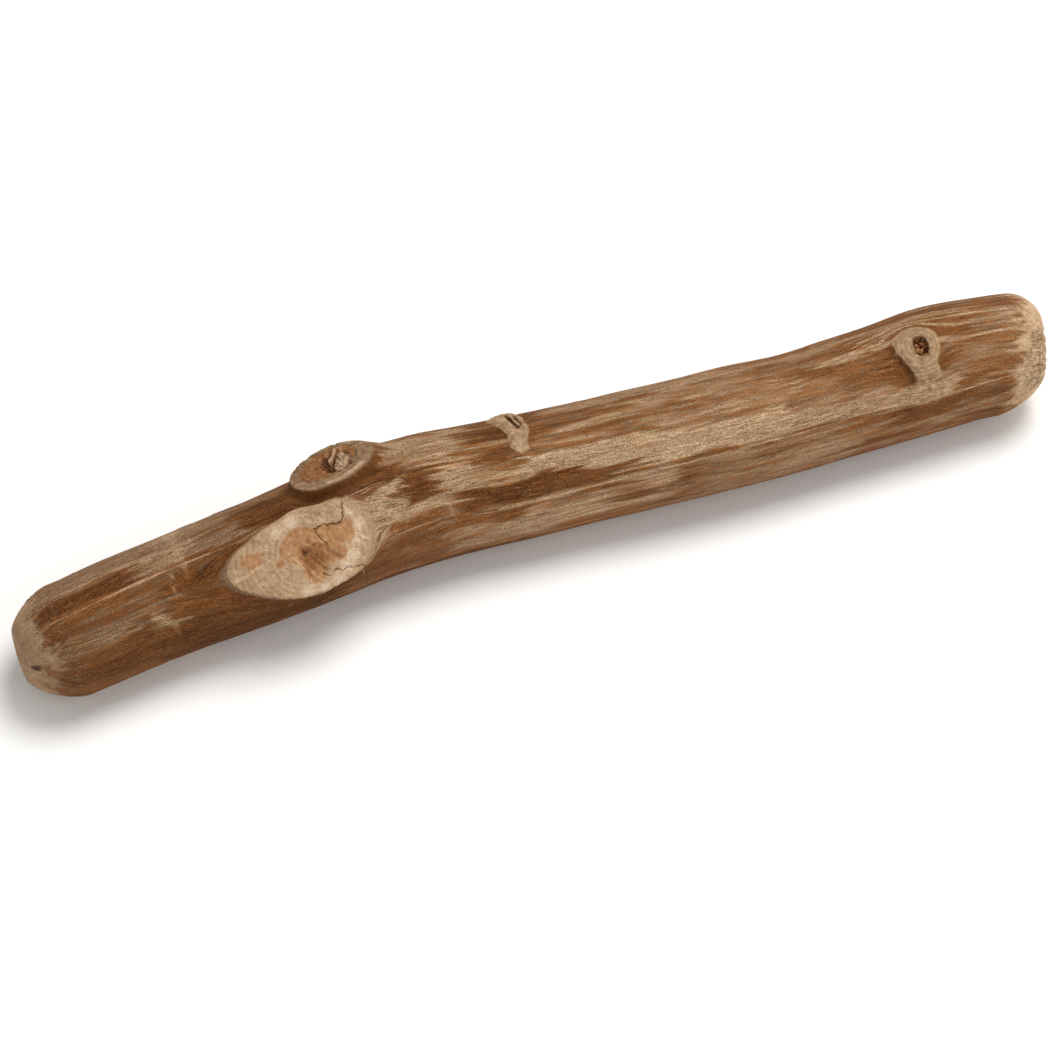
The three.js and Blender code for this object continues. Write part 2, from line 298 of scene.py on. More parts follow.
def onCut(knot, centre, out):  # where the way out from the axis meets the plane of the cut
    point, normal, right, down = cutFrame(knot)
    facing = out @ normal
    reach = ((point - centre) @ normal) / np.maximum(facing, 0.3)
    offset = centre + out * reach[:, None] - point
    cut = {"right": offset @ right, "down": offset @ down, "reach": reach}
    cut["size"] = np.hypot(cut["right"], cut["down"])
    cut["near"] = smoothStep(0.3, 0.75, facing)
    if "rim" in knot:
        rim = clockRadius(knot["rim"], cut["right"], cut["down"])
        flare = clockRadius(knot["flare"], cut["right"], cut["down"])
        cut["inside"] = cut["size"] / rim
        cut["fromRim"] = cut["size"] - rim
        cut["outside"] = np.where(facing < 0.3, far, cut["fromRim"] / flare)
    return cut


def pitPlace(knot, cut):  # 0 in the middle of the pit, 1 at its edge
    pit = knot["pit"]
    return np.hypot((cut["right"] - pit["right"]) / pit["length"], (cut["down"] - pit["down"]) / pit["width"])


def bendGrain(cut, spread, radius):  # the degrees by which the fibres turn aside round a knot
    return np.degrees(cut["near"] * cut["down"] / spread / radius)


def readPlaces(along, angle, share):  # what the shape and the colours need to know about places on the stick
    centre, _, front = axisFrame(along)
    out = outward(front, angle)
    arc = angle * mmPerDegree
    place = {"along": along, "angle": angle, "arc": arc, "share": share, "centre": centre, "out": out}
    radius = trunkRadius(along, angle)
    place["scar"] = depthInside(along, arc, roundStick(twigScar["outline"]))
    radius = radius + twigScar["height"] * smoothStep(-0.4, 0.9, place["scar"])
    bentAngle = np.array(angle, float)
    for name, knot in knots.items():
        cut = place[name] = onCut(knot, centre, out)
        fall = (1 - np.clip(cut["outside"], 0, 1)) ** 2
        radius = np.maximum(radius, radius + (cut["reach"] - radius) * fall)
        bentAngle -= bendGrain(cut, np.maximum(cut["inside"], 1) ** 2, radius)
    cut = place["collar"] = onCut(collar, centre, out)
    cut["depth"] = depthInside(along, arc, roundStick(collar["outline"]))
    cut["tail"] = smoothStep(*collar["fade"], angle)
    radius = radius + collar["height"] * smoothStep(-0.6, 1.2, cut["depth"]) * (1 - 0.9 * cut["tail"])
    bentAngle -= bendGrain(cut, np.maximum(cut["size"] / collar["grain"], 1) ** 3, radius)
    place["radius"] = radius
    turn = np.radians(bentAngle)
    ring = stick["grainRadius"] * share * endShare(along)
    place["grain"] = np.stack([along, ring * np.sin(turn), ring * np.cos(turn)], -1)
    return place


def standPlaces(place, relief=0.0):  # the points themselves, in mm before they are centred
    reach = (place["radius"] + relief) * place["share"] * endShare(place["along"])
    offset = place["out"] * reach[:, None]
    points = place["centre"] + offset
    slant = stick["slant"]
    toward = outward(axisFrame(stick["length"])[2], slant["toward"])
    lean = smoothStep(slant["from"], slant["to"], place["along"]) * slant["slope"]
    points[:, 0] += lean * (offset @ toward)
    points[:, 2] = np.maximum(points[:, 2], 0)
    return points


# The blank: a straight turned cylinder of radius 1, finely divided where the knots come

blank = {
    "segments": 176,
    "bias": 0.35, "biasAngle": 25,  # its segments stand closer together at the front
    "zones": [(0, 0.2, 2), (0.2, 1.2, 4), (1.2, 9, 24), (9, 39, 54), (39, 79, 132), (79, 94, 26),
              (94, 103, 30), (103, 169, 108), (169, 183, 48), (183, 193, 20), (193, 198.8, 20),
              (198.8, 199.8, 4), (199.8, 200, 2)],  # from, to, rings
    "leftRings": 12, "rightRings": 15,
    "weld": 1e-4,
    "detailReach": 0.45, "crackReach": 0.22,  # how near a detail and a crack the mesh is divided again
}


def turnBlank():
    bm = bmesh.new()
    end = stick["length"]
    stops = [(0, 0)] + [(zone[0], 1) for zone in blank["zones"]] + [(end, 1), (end, 0)]
    counts = [blank["leftRings"]] + [zone[2] for zone in blank["zones"]] + [blank["rightRings"]]
    for first, second, count in zip(stops, stops[1:], counts):
        corners = [bm.verts.new((along, 0, share)) for along, share in (first, second)]
        bmesh.ops.subdivide_edges(bm, edges=[bm.edges.new(corners)], cuts=count - 1)
    bmesh.ops.remove_doubles(bm, verts=bm.verts[:], dist=blank["weld"])
    bmesh.ops.spin(bm, geom=bm.verts[:] + bm.edges[:], cent=(0, 0, 0), axis=(1, 0, 0), angle=2 * pi,
                   steps=blank["segments"], use_merge=True)
    bmesh.ops.remove_doubles(bm, verts=bm.verts[:], dist=blank["weld"])
    bmesh.ops.recalc_face_normals(bm, faces=bm.faces[:])
    return bm


def blankPlaces(bm):
    places = np.array([v.co for v in bm.verts], float)
    blankAngle = np.arctan2(-places[:, 1], places[:, 2])
    shift = blank["bias"] * np.sin(blankAngle - radians(blank["biasAngle"]))
    angle = (np.degrees(blankAngle - shift) + 180) % 360 - 180
    share = np.minimum(np.hypot(places[:, 1], places[:, 2]), 1)
    return readPlaces(places[:, 0], angle, share)


def whereNear(cut, distance, least=0.5):  # the distance, but far where the place is round the other side
    return np.where(cut["near"] > least, distance, far)


def fromPith(cut):  # mm right and down from the front cut's pith
    return cut["right"] - frontKnot["pith"][0], cut["down"] - frontKnot["pith"][1]


def crackDistance(place):  # in mm on the front cut
    cut = place["front"]
    paths = [path for _, path in frontKnot["cracks"]]
    nearest = np.min([pathDistance(cut["right"], cut["down"], path) for path in paths], axis=0)
    return whereNear(cut, nearest)


def detailDistance(place):  # in mm from the nearest crack, pit or slot, which need a closer mesh
    cut = place["front"]
    distances = [crackDistance(place), whereNear(cut, np.abs(np.hypot(*fromPith(cut)) - 0.2))]
    for name in knots:
        distances.append(whereNear(place[name], np.abs(place[name]["fromRim"] - 0.1), 0.3))
    for name, knot in (("upper", upperKnot), ("collar", collar)):
        pit = pitPlace(knot, place[name])
        distances.append(whereNear(place[name], np.abs(pit - 0.65) - 0.35))
    for _, path in twigScar["slots"]:
        distances.append(pathDistance(place["along"], place["arc"], roundStick(path)) - 0.2)
    return np.min(distances, axis=0)


def refineBlank(bm, distanceTo, reach):
    near = set(np.nonzero(distanceTo(blankPlaces(bm)) < reach)[0].tolist())
    bm.verts.index_update()
    edges = [e for e in bm.edges if e.verts[0].index in near and e.verts[1].index in near]
    bmesh.ops.subdivide_edges(bm, edges=edges, cuts=1, use_grid_fill=True)


print("turning the blank")
blankMesh = turnBlank()
refineBlank(blankMesh, detailDistance, blank["detailReach"])
refineBlank(blankMesh, crackDistance, blank["crackReach"])
place = blankPlaces(blankMesh)
along, angle, arc = place["along"], place["angle"], place["arc"]
print("blank:", len(blankMesh.verts), "points")


# The paint: how brown (bark) and how light (tone) the wood is, as strokes along the stick. Each has
# its start and end, its lowest and highest angle, bark and tone in percent, and some a drift round the stick.
# A few strokes also carry painted shade or painted light; each of these is marked where it stands.

paint = {
    "bark": 0.9, "tone": 0.4,
    "softAlong": 2, "softAcross": 1.6,
    "fray": 8, "waver": 5,
    "strokes": [
        (0, 46, -75, -13, 20, 30), (20, 46, -15, 3, 15, 25), (29, 34, -60, 2, 5, 40),
        (14, 30, -18, -14, 5, 50), (5, 22, -15, -8, 65, 40), (4, 23, -9, 6, 95, 16), (5, 29, 9, 28, 75, 36),
        (5, 26, 12, 14, 50, 30), (8, 28, 20, 22, 40, 30), (4, 24, 28, 52, 30, 26), (12, 22, 36, 40, 60, 40),
        (22, 33, 29, 38, 30, 36), (19.5, 24, 40, 54, 95, 25), (22, 28.5, 38, 47, 10, 36),
        (22, 28, 44, 54, 45, 36, 3), (30, 38, 10, 48, 82, 33), (36, 45, 6, 26, 100, 24),
        # The last stroke on this line and the last on the next darken the lower side of the left half: dark
        # bark with painted shade.
        (4, 20, 53, 62, 80, 28), (4, 16, 62, 84, 75, 28), (5, 13, 70, 76, 40, 30), (10, 62, 62, 112, 95, 26),
        (4, 24, 88, 116, 85, 42), (12, 24, 64, 67, 65, 50), (27, 62, 84, 118, 95, 12),
        (44, 49, 1, 8, 20, 30), (45, 62, -34, 2, 98, 20, 14), (42, 56, -48, -32, 20, 22),
        # (55, 77, -14, 9) is dark bark with painted shade in the valley between the two knots.
        (46, 56, -40, -30, 70, 45), (55, 77, -14, 9, 100, 18), (61, 73, 3, 5, 85, 36),
        (72, 84, -64, -7, 12, 48), (71, 75.5, -20, -12, 80, 50, 4), (75, 78, -36, -29, 90, 20),
        (78, 82.5, -62, -36, 95, 30), (74, 84, -18, 2, 30, 42), (74.6, 84, 2, 36, 100, 24),
        (76, 80, 8, 28, 95, 20), (82, 93, -46, 32, 15, 50), (82, 88, 6, 12, 10, 75),
        (88, 92, -30, -18, 60, 50), (60, 92, 46, 78, 72, 45), (62, 82, 62, 70, 85, 35),
        (64, 73, 51, 54, 30, 55, -5), (72, 84, 43, 54, 85, 42), (69, 96, 31, 43, 10, 50, -12),
        # (80, 104, 70, 98) is wood lightened further as painted light on the lower front.
        (80, 104, 70, 98, 25, 58), (76, 92, 80, 84, 60, 50), (60, 80, 84, 102, 75, 42),
        (58, 128, 99, 110, 65, 50), (56, 100, 106, 128, 90, 20), (92, 148, 14, 49, 10, 65),
        (84, 96, 16, 30, 10, 55), (83.5, 103, 33, 53, 95, 27, -3), (99, 118, 37, 52, 95, 33, 4),
        (82.6, 83.4, 34, 60, 45, 50), (84, 92, 52, 61, 75, 42), (89, 128, 53, 58, 25, 50),
        # (93, 97, -22, -6) at the end of this line is dark bark with painted shadow under the scar's left
        # arm.
        (88, 98, -29, 22, 75, 45), (89.5, 97.5, -27, -6, 100, 25), (93, 97, -22, -6, 95, 12),
        (89.5, 98, 3, 16, 100, 25), (92, 96, 4, 12, 95, 20), (89, 97, -6, -2, 50, 60),
        (91.5, 95, -62, -32, 90, 30), (100, 104.5, -64, -10, 90, 30), (103, 108, -42, -12, 75, 39),
        (100, 108, -8, 0, 70, 43), (105, 160, -64, -26, 24, 45), (101, 124, -24, -11, 62, 54),
        (108, 124, -20, -16, 85, 42), (106, 124, -10, -2, 20, 60), (100, 128, 0, 15, 65, 44),
        (104, 128, 7, 10, 30, 55), (118, 148, -24, -4, 38, 52), (120, 152, -4, 5, 50, 50),
        # (96, 128, 60, 92) at the end of this line is wood lightened further as painted light on the lower
        # front.
        (126, 152, 6, 20, 30, 50), (128, 150, 20, 22, 55, 43), (96, 128, 60, 92, 25, 74),
        (100, 118, 58, 62, 60, 39), (103, 116, 64, 70, 50, 48), (113, 126, 73, 83, 70, 43, 4),
        (103, 126, 92, 98, 60, 52), (126, 142, 52, 70, 50, 54), (126, 141, 70, 94, 45, 54),
        (127, 131, 66, 88, 60, 50), (140, 172, 29, 50, 15, 54), (140, 155, 1, 14, 46, 52),
        (142, 175, -27, -12, 60, 44), (156, 170, -12, -3, 30, 60), (165, 178, -32, -15, 42, 46, -12),
        (176, 180, -24, -15, 40, 48), (150, 172, 3, 30, 55, 54), (160, 172, 2, 34, 75, 50),
        # (168, 173, 4, 32) is dark bark with painted shadow along the collar's left side.
        (168, 173, 4, 32, 95, 27, 10), (139, 158, -48, -38, 60, 44), (126, 170, -37, -28, 25, 55),
        (140, 196, 53, 62, 50, 56), (164, 174, 55, 68, 90, 28), (172, 181, 58, 63, 90, 28),
        # (141, 168, 62, 84), (136, 184, 78, 90) and, on the next line, (126, 184, 92, 112) are lightened
        # further as painted light on the lower front of the right half.
        (141, 168, 62, 84, 50, 48), (132, 165, 71, 75, 30, 52), (136, 184, 78, 90, 30, 54),
        (159, 172, 86, 92, 85, 32), (126, 184, 92, 112, 30, 45), (135, 142, 96, 104, 60, 40),
        (160, 182, 98, 110, 60, 40), (166, 182, 38, 57, 12, 56), (171, 179, 34, 60, 5, 58),
        (174, 182, 47, 50, 50, 43), (177.5, 186, 10, 36, 85, 35), (182, 196, 12, 46, 60, 54),
        (180, 196, -40, -12, 70, 43), (178, 184, -48, -30, 80, 36), (180, 192, -50, -40, 30, 45),
        (178, 187, -14, 10, 85, 38), (184, 196, -12, 5, 35, 42), (185, 197, -20, -16, 15, 50),
        (180, 196, 6, 11, 30, 55), (182, 192, 42, 50, 85, 36, -10), (188, 196, 45, 52, 25, 50),
        (180, 196, 54, 58, 60, 36), (173, 197, 60, 70, 80, 36), (179, 197, 70, 92, 50, 48),
        (182, 194, 72, 76, 35, 40), (184, 197, 92, 104, 90, 25), (184, 192, 100, 114, 75, 40),
    ],
    "scuffs": [
        (0.34, 0.8, [(29.5, 12), (29.3, 20), (28.8, 29)]),
        (0.5, 0.55, [(31.6, -52), (32.3, -20), (32.7, 0), (32.4, 15)]),
        (1, 0.4, [(33.2, -48), (32.7, -12), (32, 6)]), (0.3, 0.5, [(35.4, -20), (35, -12), (35.3, -6)]),
        (1.2, 0.6, [(23.8, 43), (25.2, 49), (26.8, 57)]), (0.4, 0.5, [(27, 60), (27.5, 70)]),
        (0.25, 0.4, [(28.2, -40), (29.4, -26), (30.4, -14)]),
        (0.35, 0.4, [(83.4, 26), (83.2, 45), (83.4, 64)]), (0.3, 0.3, [(88.4, 8), (88, 20), (88.2, 30)]),
    ],  # rubbed across the fibres: half width, strength, path
    "hidden": {"seed": 11, "count": 110, "lowAngle": 112, "highAngle": 296, "longest": 60, "widest": 22},
    "lines": [
        [(3.8, 10), (17.7, 8), (29.7, 7), (43.5, 7)],
        [(92, 57), (105.4, 56), (131.9, 54), (159, 51), (168, 52)],
        [(162.9, -10), (169.3, -14), (172.5, -20), (176, -23), (179, -19), (183, -17), (194.1, -16)],
        [(160, -4), (165, -8), (169, -11), (171.6, -17), (174.6, -20.6), (177.4, -18), (180.3, -8),
         (184, -4)],
        [(165, -19), (171, -25), (176, -27.4), (180, -24), (186, -21)],
        [(163, -24), (170, -30), (176, -32), (181, -29), (188, -26)],
        [(177.6, -16), (181, -9), (183.9, -5), (188, -6), (195.2, -11)],
        [(179.3, 8), (182, 11), (185.6, 10), (194, 7)], [(165, 57), (180, 58), (190, 55), (196, 52)],
    ],  # fibres that stand a little proud, pale
}


def grainNoise(length, width, start):  # noise drawn out along the fibres
    return noiseAt(place["grain"], np.array([length, width, width]), start)


def hiddenStrokes():  # the side that is out of sight gets strokes of the same kind
    hidden = paint["hidden"]
    rng = np.random.default_rng(hidden["seed"])
    strokes = []
    for i in range(hidden["count"]):
        start = rng.uniform(-10, 185)
        low = rng.uniform(hidden["lowAngle"], hidden["highAngle"])
        width = rng.uniform(3, hidden["widest"]) * (1 if i < hidden["count"] / 2 else 0.4)
        bark = rng.choice([10, 30, 60, 90])
        tone = 100 * rng.uniform(0.25, 0.55)
        strokes.append((start, start + rng.uniform(10, hidden["longest"]), low, low + width, bark, tone))
    return strokes


def paintStrokes(strokes):
    fray = grainNoise(12, 0.55, 5.3) * paint["fray"]
    waver = grainNoise(9, 2.5, 17.1) * paint["waver"]
    bark = np.full(along.shape, paint["bark"])
    tone = np.full(along.shape, paint["tone"])
    for start, end, low, high, newBark, newTone, *drift in strokes:
        fromMiddle = along - (start + end) / 2
        middle = (low + high) / 2 + (drift[0] * fromMiddle / (end - start) if drift else 0)
        aside = np.abs((angle - middle + 180) % 360 - 180)
        lengthwise = (end - start) / 2 - np.abs(fromMiddle) + fray
        across = (high - low) / 2 - aside + waver
        cover = (smoothStep(-paint["softAlong"], paint["softAlong"], lengthwise)
                 * smoothStep(-paint["softAcross"], paint["softAcross"], across))
        bark += (newBark / 100 - bark) * cover
        tone += (newTone / 100 - tone) * cover
    return bark, tone


print("painting", len(paint["strokes"]), "strokes and the hidden side")
bark, tone = paintStrokes(hiddenStrokes() + paint["strokes"])
streak = grainNoise(14, 0.7, 31.7)
dash = grainNoise(5, 0.45, 47.9)
mixed = 1 - np.abs(2 * np.clip(bark, 0, 1) - 1)  # 1 where brown and pale mix in streaks
bark += (0.2 + 0.35 * mixed) * streak + (0.18 + 0.25 * mixed) * dash
tone += 0.12 * streak + 0.1 * dash


# The bare places: sanded ends, the cuts of the knots, the collar, the scar and the torn tail

bare = {
    "leftEdge": (2, 7), "rightEdge": (191.9, 198), "leftTone": 0.53, "rightTone": 0.82,
    "stains": [
        (198, 20, 1.3, 0.4), (3.4, 53, 1, 0.5), (3.8, 62, 1.3, 0.7), (1.8, 56, 1.3, 0.5),
        (2.6, 36, 0.9, 0.2),
    ],  # along, angle, size, strength
    "specks": [(1.4, 55, 0.8), (1.5, 58, 0.6), (1.9, 53, 0.4), (197.4, 12, 0.3)],  # along, angle, size
    "chips": [(199.3, 30, 0.9, 0.5), (198.9, 41, 0.7, 0.4), (198.2, 53, 0.8, 0.5), (199, -8, 0.6, 0.3),
              (197.6, 70, 0.7, 0.35), (0.6, 12, 0.6, 0.3), (1.8, 80, 0.8, 0.35)],  # and depth
    "worn": {"low": -25, "high": 94, "from": 196.4, "height": 0.22},  # the frayed side of the right end
    "torn": {"from": 197.6, "to": 199.2, "depth": 1.5},
    "ringRadius": 11,  # of the outermost ring on a sawn face
    "tail": {"from": 60, "to": 74.6, "top": [(60, 5), (63, 14), (66, 17), (70, 13), (76, 7)],
             "bottom": [(60, 78), (63, 72), (66, 58), (69, 47), (76, 37)], "height": 0.3, "tone": 0.42},
    "flap": {"along": 68, "angle": 49, "length": 2.2, "width": 1.7, "tone": 0.34},
}
heights = {"streak": 0.05, "dash": 0.035, "bark": 0.1, "line": 0.08}  # mm
crackDepth = 0.5


# For each point: its relief in mm, outwards and, on the sawn faces, along the stick, and how far it is sawn
# wood, heart, in the dark, and wood with no fibres to see, as at sanded ends, rims and healed knots
relief, faceRelief, cutShare, heart, shade, callus = np.zeros((6, len(along)))
plain = standPlaces(place)
lumps = noiseAt(plain, 0.9, 61.3)
grit = noiseAt(plain, 0.4, 73.7)


def tint(cover, newBark, newTone):
    bark[:] += (newBark - bark) * cover
    tone[:] += (newTone - tone) * cover


def raiseTo(values, cover):  # to the cover, where that is more
    values[:] = np.maximum(values, cover)


def circleAt(middleAlong, middleAngle, size):  # 1 in the middle, 0 from the edge on
    distance = np.hypot(along - middleAlong, (angle - middleAngle) * mmPerDegree)
    return fadeOut(0.5, 1.2, distance / size)


def finishTrunk():
    relief[:] += (heights["streak"] * streak + heights["dash"] * dash
                  + heights["bark"] * smoothStep(0.35, 0.65, bark))
    broken = smoothStep(-0.5, 0.1, streak + 0.5 * dash)
    for line in paint["lines"]:
        distance = pathDistance(along, arc, roundStick(line))
        cover = fadeOut(0.08, 0.3, distance + 0.1 * grit) * broken
        relief[:] += heights["line"] * cover
        tint(cover * 0.75, 0, 0.8)


def finishScuffs():
    ragged = along + 0.3 * streak + 0.15 * grit
    for halfWidth, strength, path in paint["scuffs"]:
        tint(strength * pathCover(ragged, arc, roundStick(path), halfWidth, 0.2, 1.1), 0, 0.6)


def finishEnds():  # the sanded roundings
    frayed = along + grainNoise(12, 3.2, 83.3) * 3
    frayed = frayed + grainNoise(9, 0.8, 89.1) * 2 + dash + 0.4 * lumps
    left = fadeOut(*bare["leftEdge"], frayed)
    right = smoothStep(*bare["rightEdge"], frayed)
    tint(left, 0, bare["leftTone"] + 0.15 * lumps)
    tint(right, -0.12, bare["rightTone"] + 0.16 * lumps)
    relief[:] += (left + right) * (0.035 * grit + 0.05 * lumps)
    raiseTo(callus, left + right)
    for middleAlong, middleAngle, size, strength in bare["stains"]:
        tint(strength * circleAt(middleAlong, middleAngle, size * (1 + 0.8 * lumps)), 0.8, 0.6)
    for middleAlong, middleAngle, size in bare["specks"]:
        raiseTo(shade, 0.8 * circleAt(middleAlong, middleAngle, size))


def finishFaces():  # the sawn faces, and the frayed side of the right one
    share = place["share"]
    worn, torn = bare["worn"], bare["torn"]
    side = smoothStep(0, 12, angle - worn["low"]) * fadeOut(-12, 0, angle - worn["high"])
    rough = noiseAt(plain, 0.55, 21.7) + 0.8 * noiseAt(plain, 1.5, 23.9)
    relief[:] += worn["height"] * rough * side * smoothStep(worn["from"], worn["from"] + 1.2, along)
    holes = noiseAt(plain, 0.7, 33.1) + 0.6 * noiseAt(plain, 0.35, 35.3)
    holes = np.clip(holes + 0.1, 0, 1) * side * smoothStep(0.45, 0.8, share)
    faceRelief[:] -= torn["depth"] * holes * smoothStep(torn["from"], torn["to"], along)
    face = fadeOut(0.9, 1.0, share)
    sawn = noiseAt(place["grain"], np.array([1, 0.35, 4]), 97.1)
    rings = np.sin((share * bare["ringRadius"] + 0.5 * grainNoise(4, 4, 19.9)) * 5)
    outwards = np.where(along > stick["length"] / 2, 1, -1)
    faceRelief[:] += face * (0.04 * sawn + 0.03 * grit + 0.02 * rings) * outwards
    raiseTo(cutShare, 0.8 * face)
    tint(face, 0, 0.32 + 0.15 * lumps)
    raiseTo(heart, face * 0.6 * fadeOut(0.2, 0.5, share + 0.08 * lumps))
    raiseTo(shade, face * 0.7 * fadeOut(0.03, 0.08, share + 0.03 * lumps))
    for middleAlong, middleAngle, size, depth in bare["chips"]:
        relief[:] -= depth * circleAt(middleAlong, middleAngle, size)


def openCracks(cut, cracks):
    right = cut["right"] + 0.08 * lumps + 0.04 * grit
    down = cut["down"] + 0.08 * grainNoise(0.7, 0.7, 3.1)
    for halfWidth, path in cracks:
        gap = pathCover(right, down, path, halfWidth, ragged=0.7 * grit)
        gap = gap * (cut["near"] > 0.5) * min(1, 0.25 + halfWidth / 0.24)
        relief[:] -= crackDepth * gap
        raiseTo(shade, 0.68 * gap)


def openPit(knot, cut, lumpy, gritty):  # the way out from its middle, and how much of its depth is left
    pit = pitPlace(knot, cut) + lumpy * lumps + gritty * grit
    return pit, np.where(cut["near"] > 0.5, np.clip(1 - pit * pit, 0, 1) ** 0.6, 0)


def finishTail():
    tail = bare["tail"]
    top, bottom = (np.interp(along, *zip(*tail[side])) for side in ("top", "bottom"))
    fray = grainNoise(9, 0.5, 7.7) * 3 + grainNoise(14, 1.7, 27.7) * 5
    lengthwise = smoothStep(-0.35, 0.35, tail["to"] - along + fray) * (along > tail["from"])
    above = smoothStep(-1.5, 1.5, angle - top + 2 * streak)
    below = smoothStep(-2, 2, bottom - angle + 2 * streak)
    cover = lengthwise * above * below
    tint(cover, 0, tail["tone"] + 0.14 * dash)
    fibres = grainNoise(6, 0.5, 12.9)
    relief[:] += cover * (tail["height"] * smoothStep(tail["from"], tail["to"], along) + 0.14 * fibres)
    flap = bare["flap"]
    near = np.hypot((along - flap["along"]) / flap["length"],
                    (angle - flap["angle"]) * mmPerDegree / flap["width"])
    tint(0.8 * fadeOut(0.7, 1.1, near), 0, flap["tone"])


def finishFrontCut():
    cut = place["front"]
    right, down = cut["right"], cut["down"]
    fringe = frontKnot["fringe"] * clockRadius(frontKnot["fringeAt"], right, down)
    around = fadeOut(0.3, 1, cut["fromRim"] / fringe + 0.5 * lumps) * (cut["near"] > 0.5)
    toRight = smoothStep(2, 8, right)
    tint(around, 0.15, 0.3 + 0.2 * toRight + 0.2 * lumps)
    raiseTo(callus, around * (1 - 0.5 * toRight))
    face = fadeOut(-0.14, 0.1, cut["outside"] + 0.12 * lumps + 0.06 * grit)
    raiseTo(cutShare, face)
    tint(face, 0, 0.42 + 0.14 * grit + 0.18 * lumps)
    for kind in ("worn", "pale"):
        for spotRight, spotDown, size in frontKnot[kind]:
            distance = np.hypot(right - spotRight, down - spotDown) / size + 0.2 * lumps
            tint(face * 0.85 * fadeOut(0.3, 1.3, distance), 0, frontKnot[kind + "Tone"])
    core = depthInside(right, down, frontKnot["heart"]) + 0.35 * lumps + 0.2 * grit
    raiseTo(heart, face * smoothStep(-0.6, 0.35, core))
    for spotRight, spotDown, size, strength in frontKnot["spots"]:
        distance = np.hypot((right - spotRight) * 0.8, down - spotDown) / size + 0.35 * lumps + 0.1 * grit
        raiseTo(heart, face * strength * fadeOut(0.4, 1.3, distance))
    pithRight, pithDown = fromPith(cut)
    away = np.hypot(pithRight, pithDown)
    turn = np.arctan2(pithDown, pithRight)
    rays = noiseAt(np.stack([away * 0.2, 3 * np.cos(turn), 3 * np.sin(turn)], -1), 0.5, 4.4)
    rings = np.sin(away * 4.2 + 1.5 * lumps)
    relief[:] += face * (0.035 * grit + 0.05 * rays + 0.025 * rings + 0.05 * lumps)
    brownRight, brownDown = frontKnot["brownest"]
    brown = smoothStep(0.6, 4, np.hypot(right - brownRight, down - brownDown) + 0.8 * lumps)
    tint(heart * face, 0, 0.12 + 0.42 * brown + 0.16 * rays + 0.22 * lumps)
    relief[:] -= frontKnot["heartDepth"] * heart * face
    pith = fadeOut(0.1, 0.8, away * (1 + 0.6 * rays) + 0.15 * lumps) * face
    relief[:] -= frontKnot["pithDepth"] * pith
    raiseTo(shade, 0.8 * pith)
    for halfWidth, strength, path in frontKnot["folds"]:
        fold = pathCover(right + 0.2 * lumps, down + 0.1 * grit, path, halfWidth) * strength * face
        relief[:] -= frontKnot["foldDepth"] * fold
        raiseTo(shade, 0.6 * fold)
    for halfWidth, strength, path in frontKnot["scratches"]:
        scratch = pathCover(right, down + 0.1 * lumps, path, halfWidth) * strength * face
        tint(scratch, 0, 1)
        heart[:] *= 1 - 0.6 * scratch
        relief[:] += frontKnot["scratchHeight"] * scratch
    openCracks(cut, frontKnot["cracks"])


def finishUpperCut():
    cut = place["upper"]
    right, down = cut["right"], cut["down"]
    wall = fadeOut(1.2, 2.4, cut["fromRim"] + 0.5 * lumps) * (cut["near"] > 0.3)
    wall = wall * fadeOut(3.5, 6, right - down + streak)
    tint(0.8 * wall, 0.95, 0.3 + 0.15 * lumps)
    raiseTo(callus, 0.85 * wall)
    rim = fadeOut(-0.02, 0.2, cut["outside"] + 0.08 * lumps)
    tint(rim, 0.12, 0.3 + 0.24 * lumps + 0.1 * grit)
    raiseTo(callus, rim * fadeOut(3.5, 6.5, right - down + 2 * dash))
    core = depthInside(right, down, upperKnot["heart"]) + 0.15 * lumps
    face = rim * smoothStep(-0.2, 0.2, core)
    raiseTo(cutShare, face)
    raiseTo(heart, face)
    tint(face, 0, 0.14 + 0.2 * lumps + 0.14 * grit)
    heart[:] *= 1 - face * (0.2 + 0.45 * lumps + 0.2 * grit)
    # The ridge along the lower rim is pale wood, and partly a painted highlight where the ridge catches the
    # light.
    ridge = fadeOut(0.2, 0.55, pathDistance(right, down, upperKnot["ridge"]) + 0.1 * lumps) * rim
    tint(ridge, 0, 0.55 + 0.3 * lumps)
    raiseTo(cutShare, 0.9 * ridge)
    relief[:] += upperKnot["ridgeHeight"] * ridge + 0.02 * rim * lumps + 0.03 * face * grit
    for depth, strength in upperKnot["grooves"]:
        groove = bell(core - depth, upperKnot["grooveWidth"]) * rim * strength
        relief[:] -= upperKnot["grooveDepth"] * groove
        raiseTo(shade, 0.5 * groove)
    openCracks(cut, upperKnot["cracks"][:1])


def finishRot():  # the rotten middle of the upper cut, with a chunk and a splinter left in it
    cut = place["upper"]
    right, down = cut["right"], cut["down"]
    _, hollow = openPit(upperKnot, cut, 0.2, 0.08)
    crumbs = 0.8 * noiseAt(plain, 0.75, 41.9) + 0.7 * noiseAt(plain, 0.4, 43.1)
    chunk = smoothStep(-0.3, 0.4, depthInside(right, down, upperKnot["chunk"]) + 0.35 * lumps)
    depth = upperKnot["pit"]["depth"] * (1 - 0.85 * chunk)
    relief[:] -= hollow * (depth + 0.55 * crumbs + 0.2 * grit)
    rotten = smoothStep(0.05, 0.5, hollow)
    heart[:] = np.maximum(heart * (1 - rotten), rotten * (1 - 0.8 * chunk))
    raiseTo(shade, rotten * np.clip(0.72 - 0.7 * chunk - 0.9 * crumbs, 0, 1))
    tint(rotten * chunk, 0, 0.36 + 0.7 * crumbs)
    splinter = pathCover(right, down, upperKnot["splinter"], upperKnot["splinterWidth"], 0.4)
    splinter = splinter * (cut["near"] > 0.5)
    relief[:] += upperKnot["splinterHeight"] * splinter * hollow
    shade[:] *= 1 - 0.9 * splinter
    heart[:] *= 1 - 0.8 * splinter
    tint(splinter, 0, 0.75)
    openCracks(cut, upperKnot["cracks"][1:])


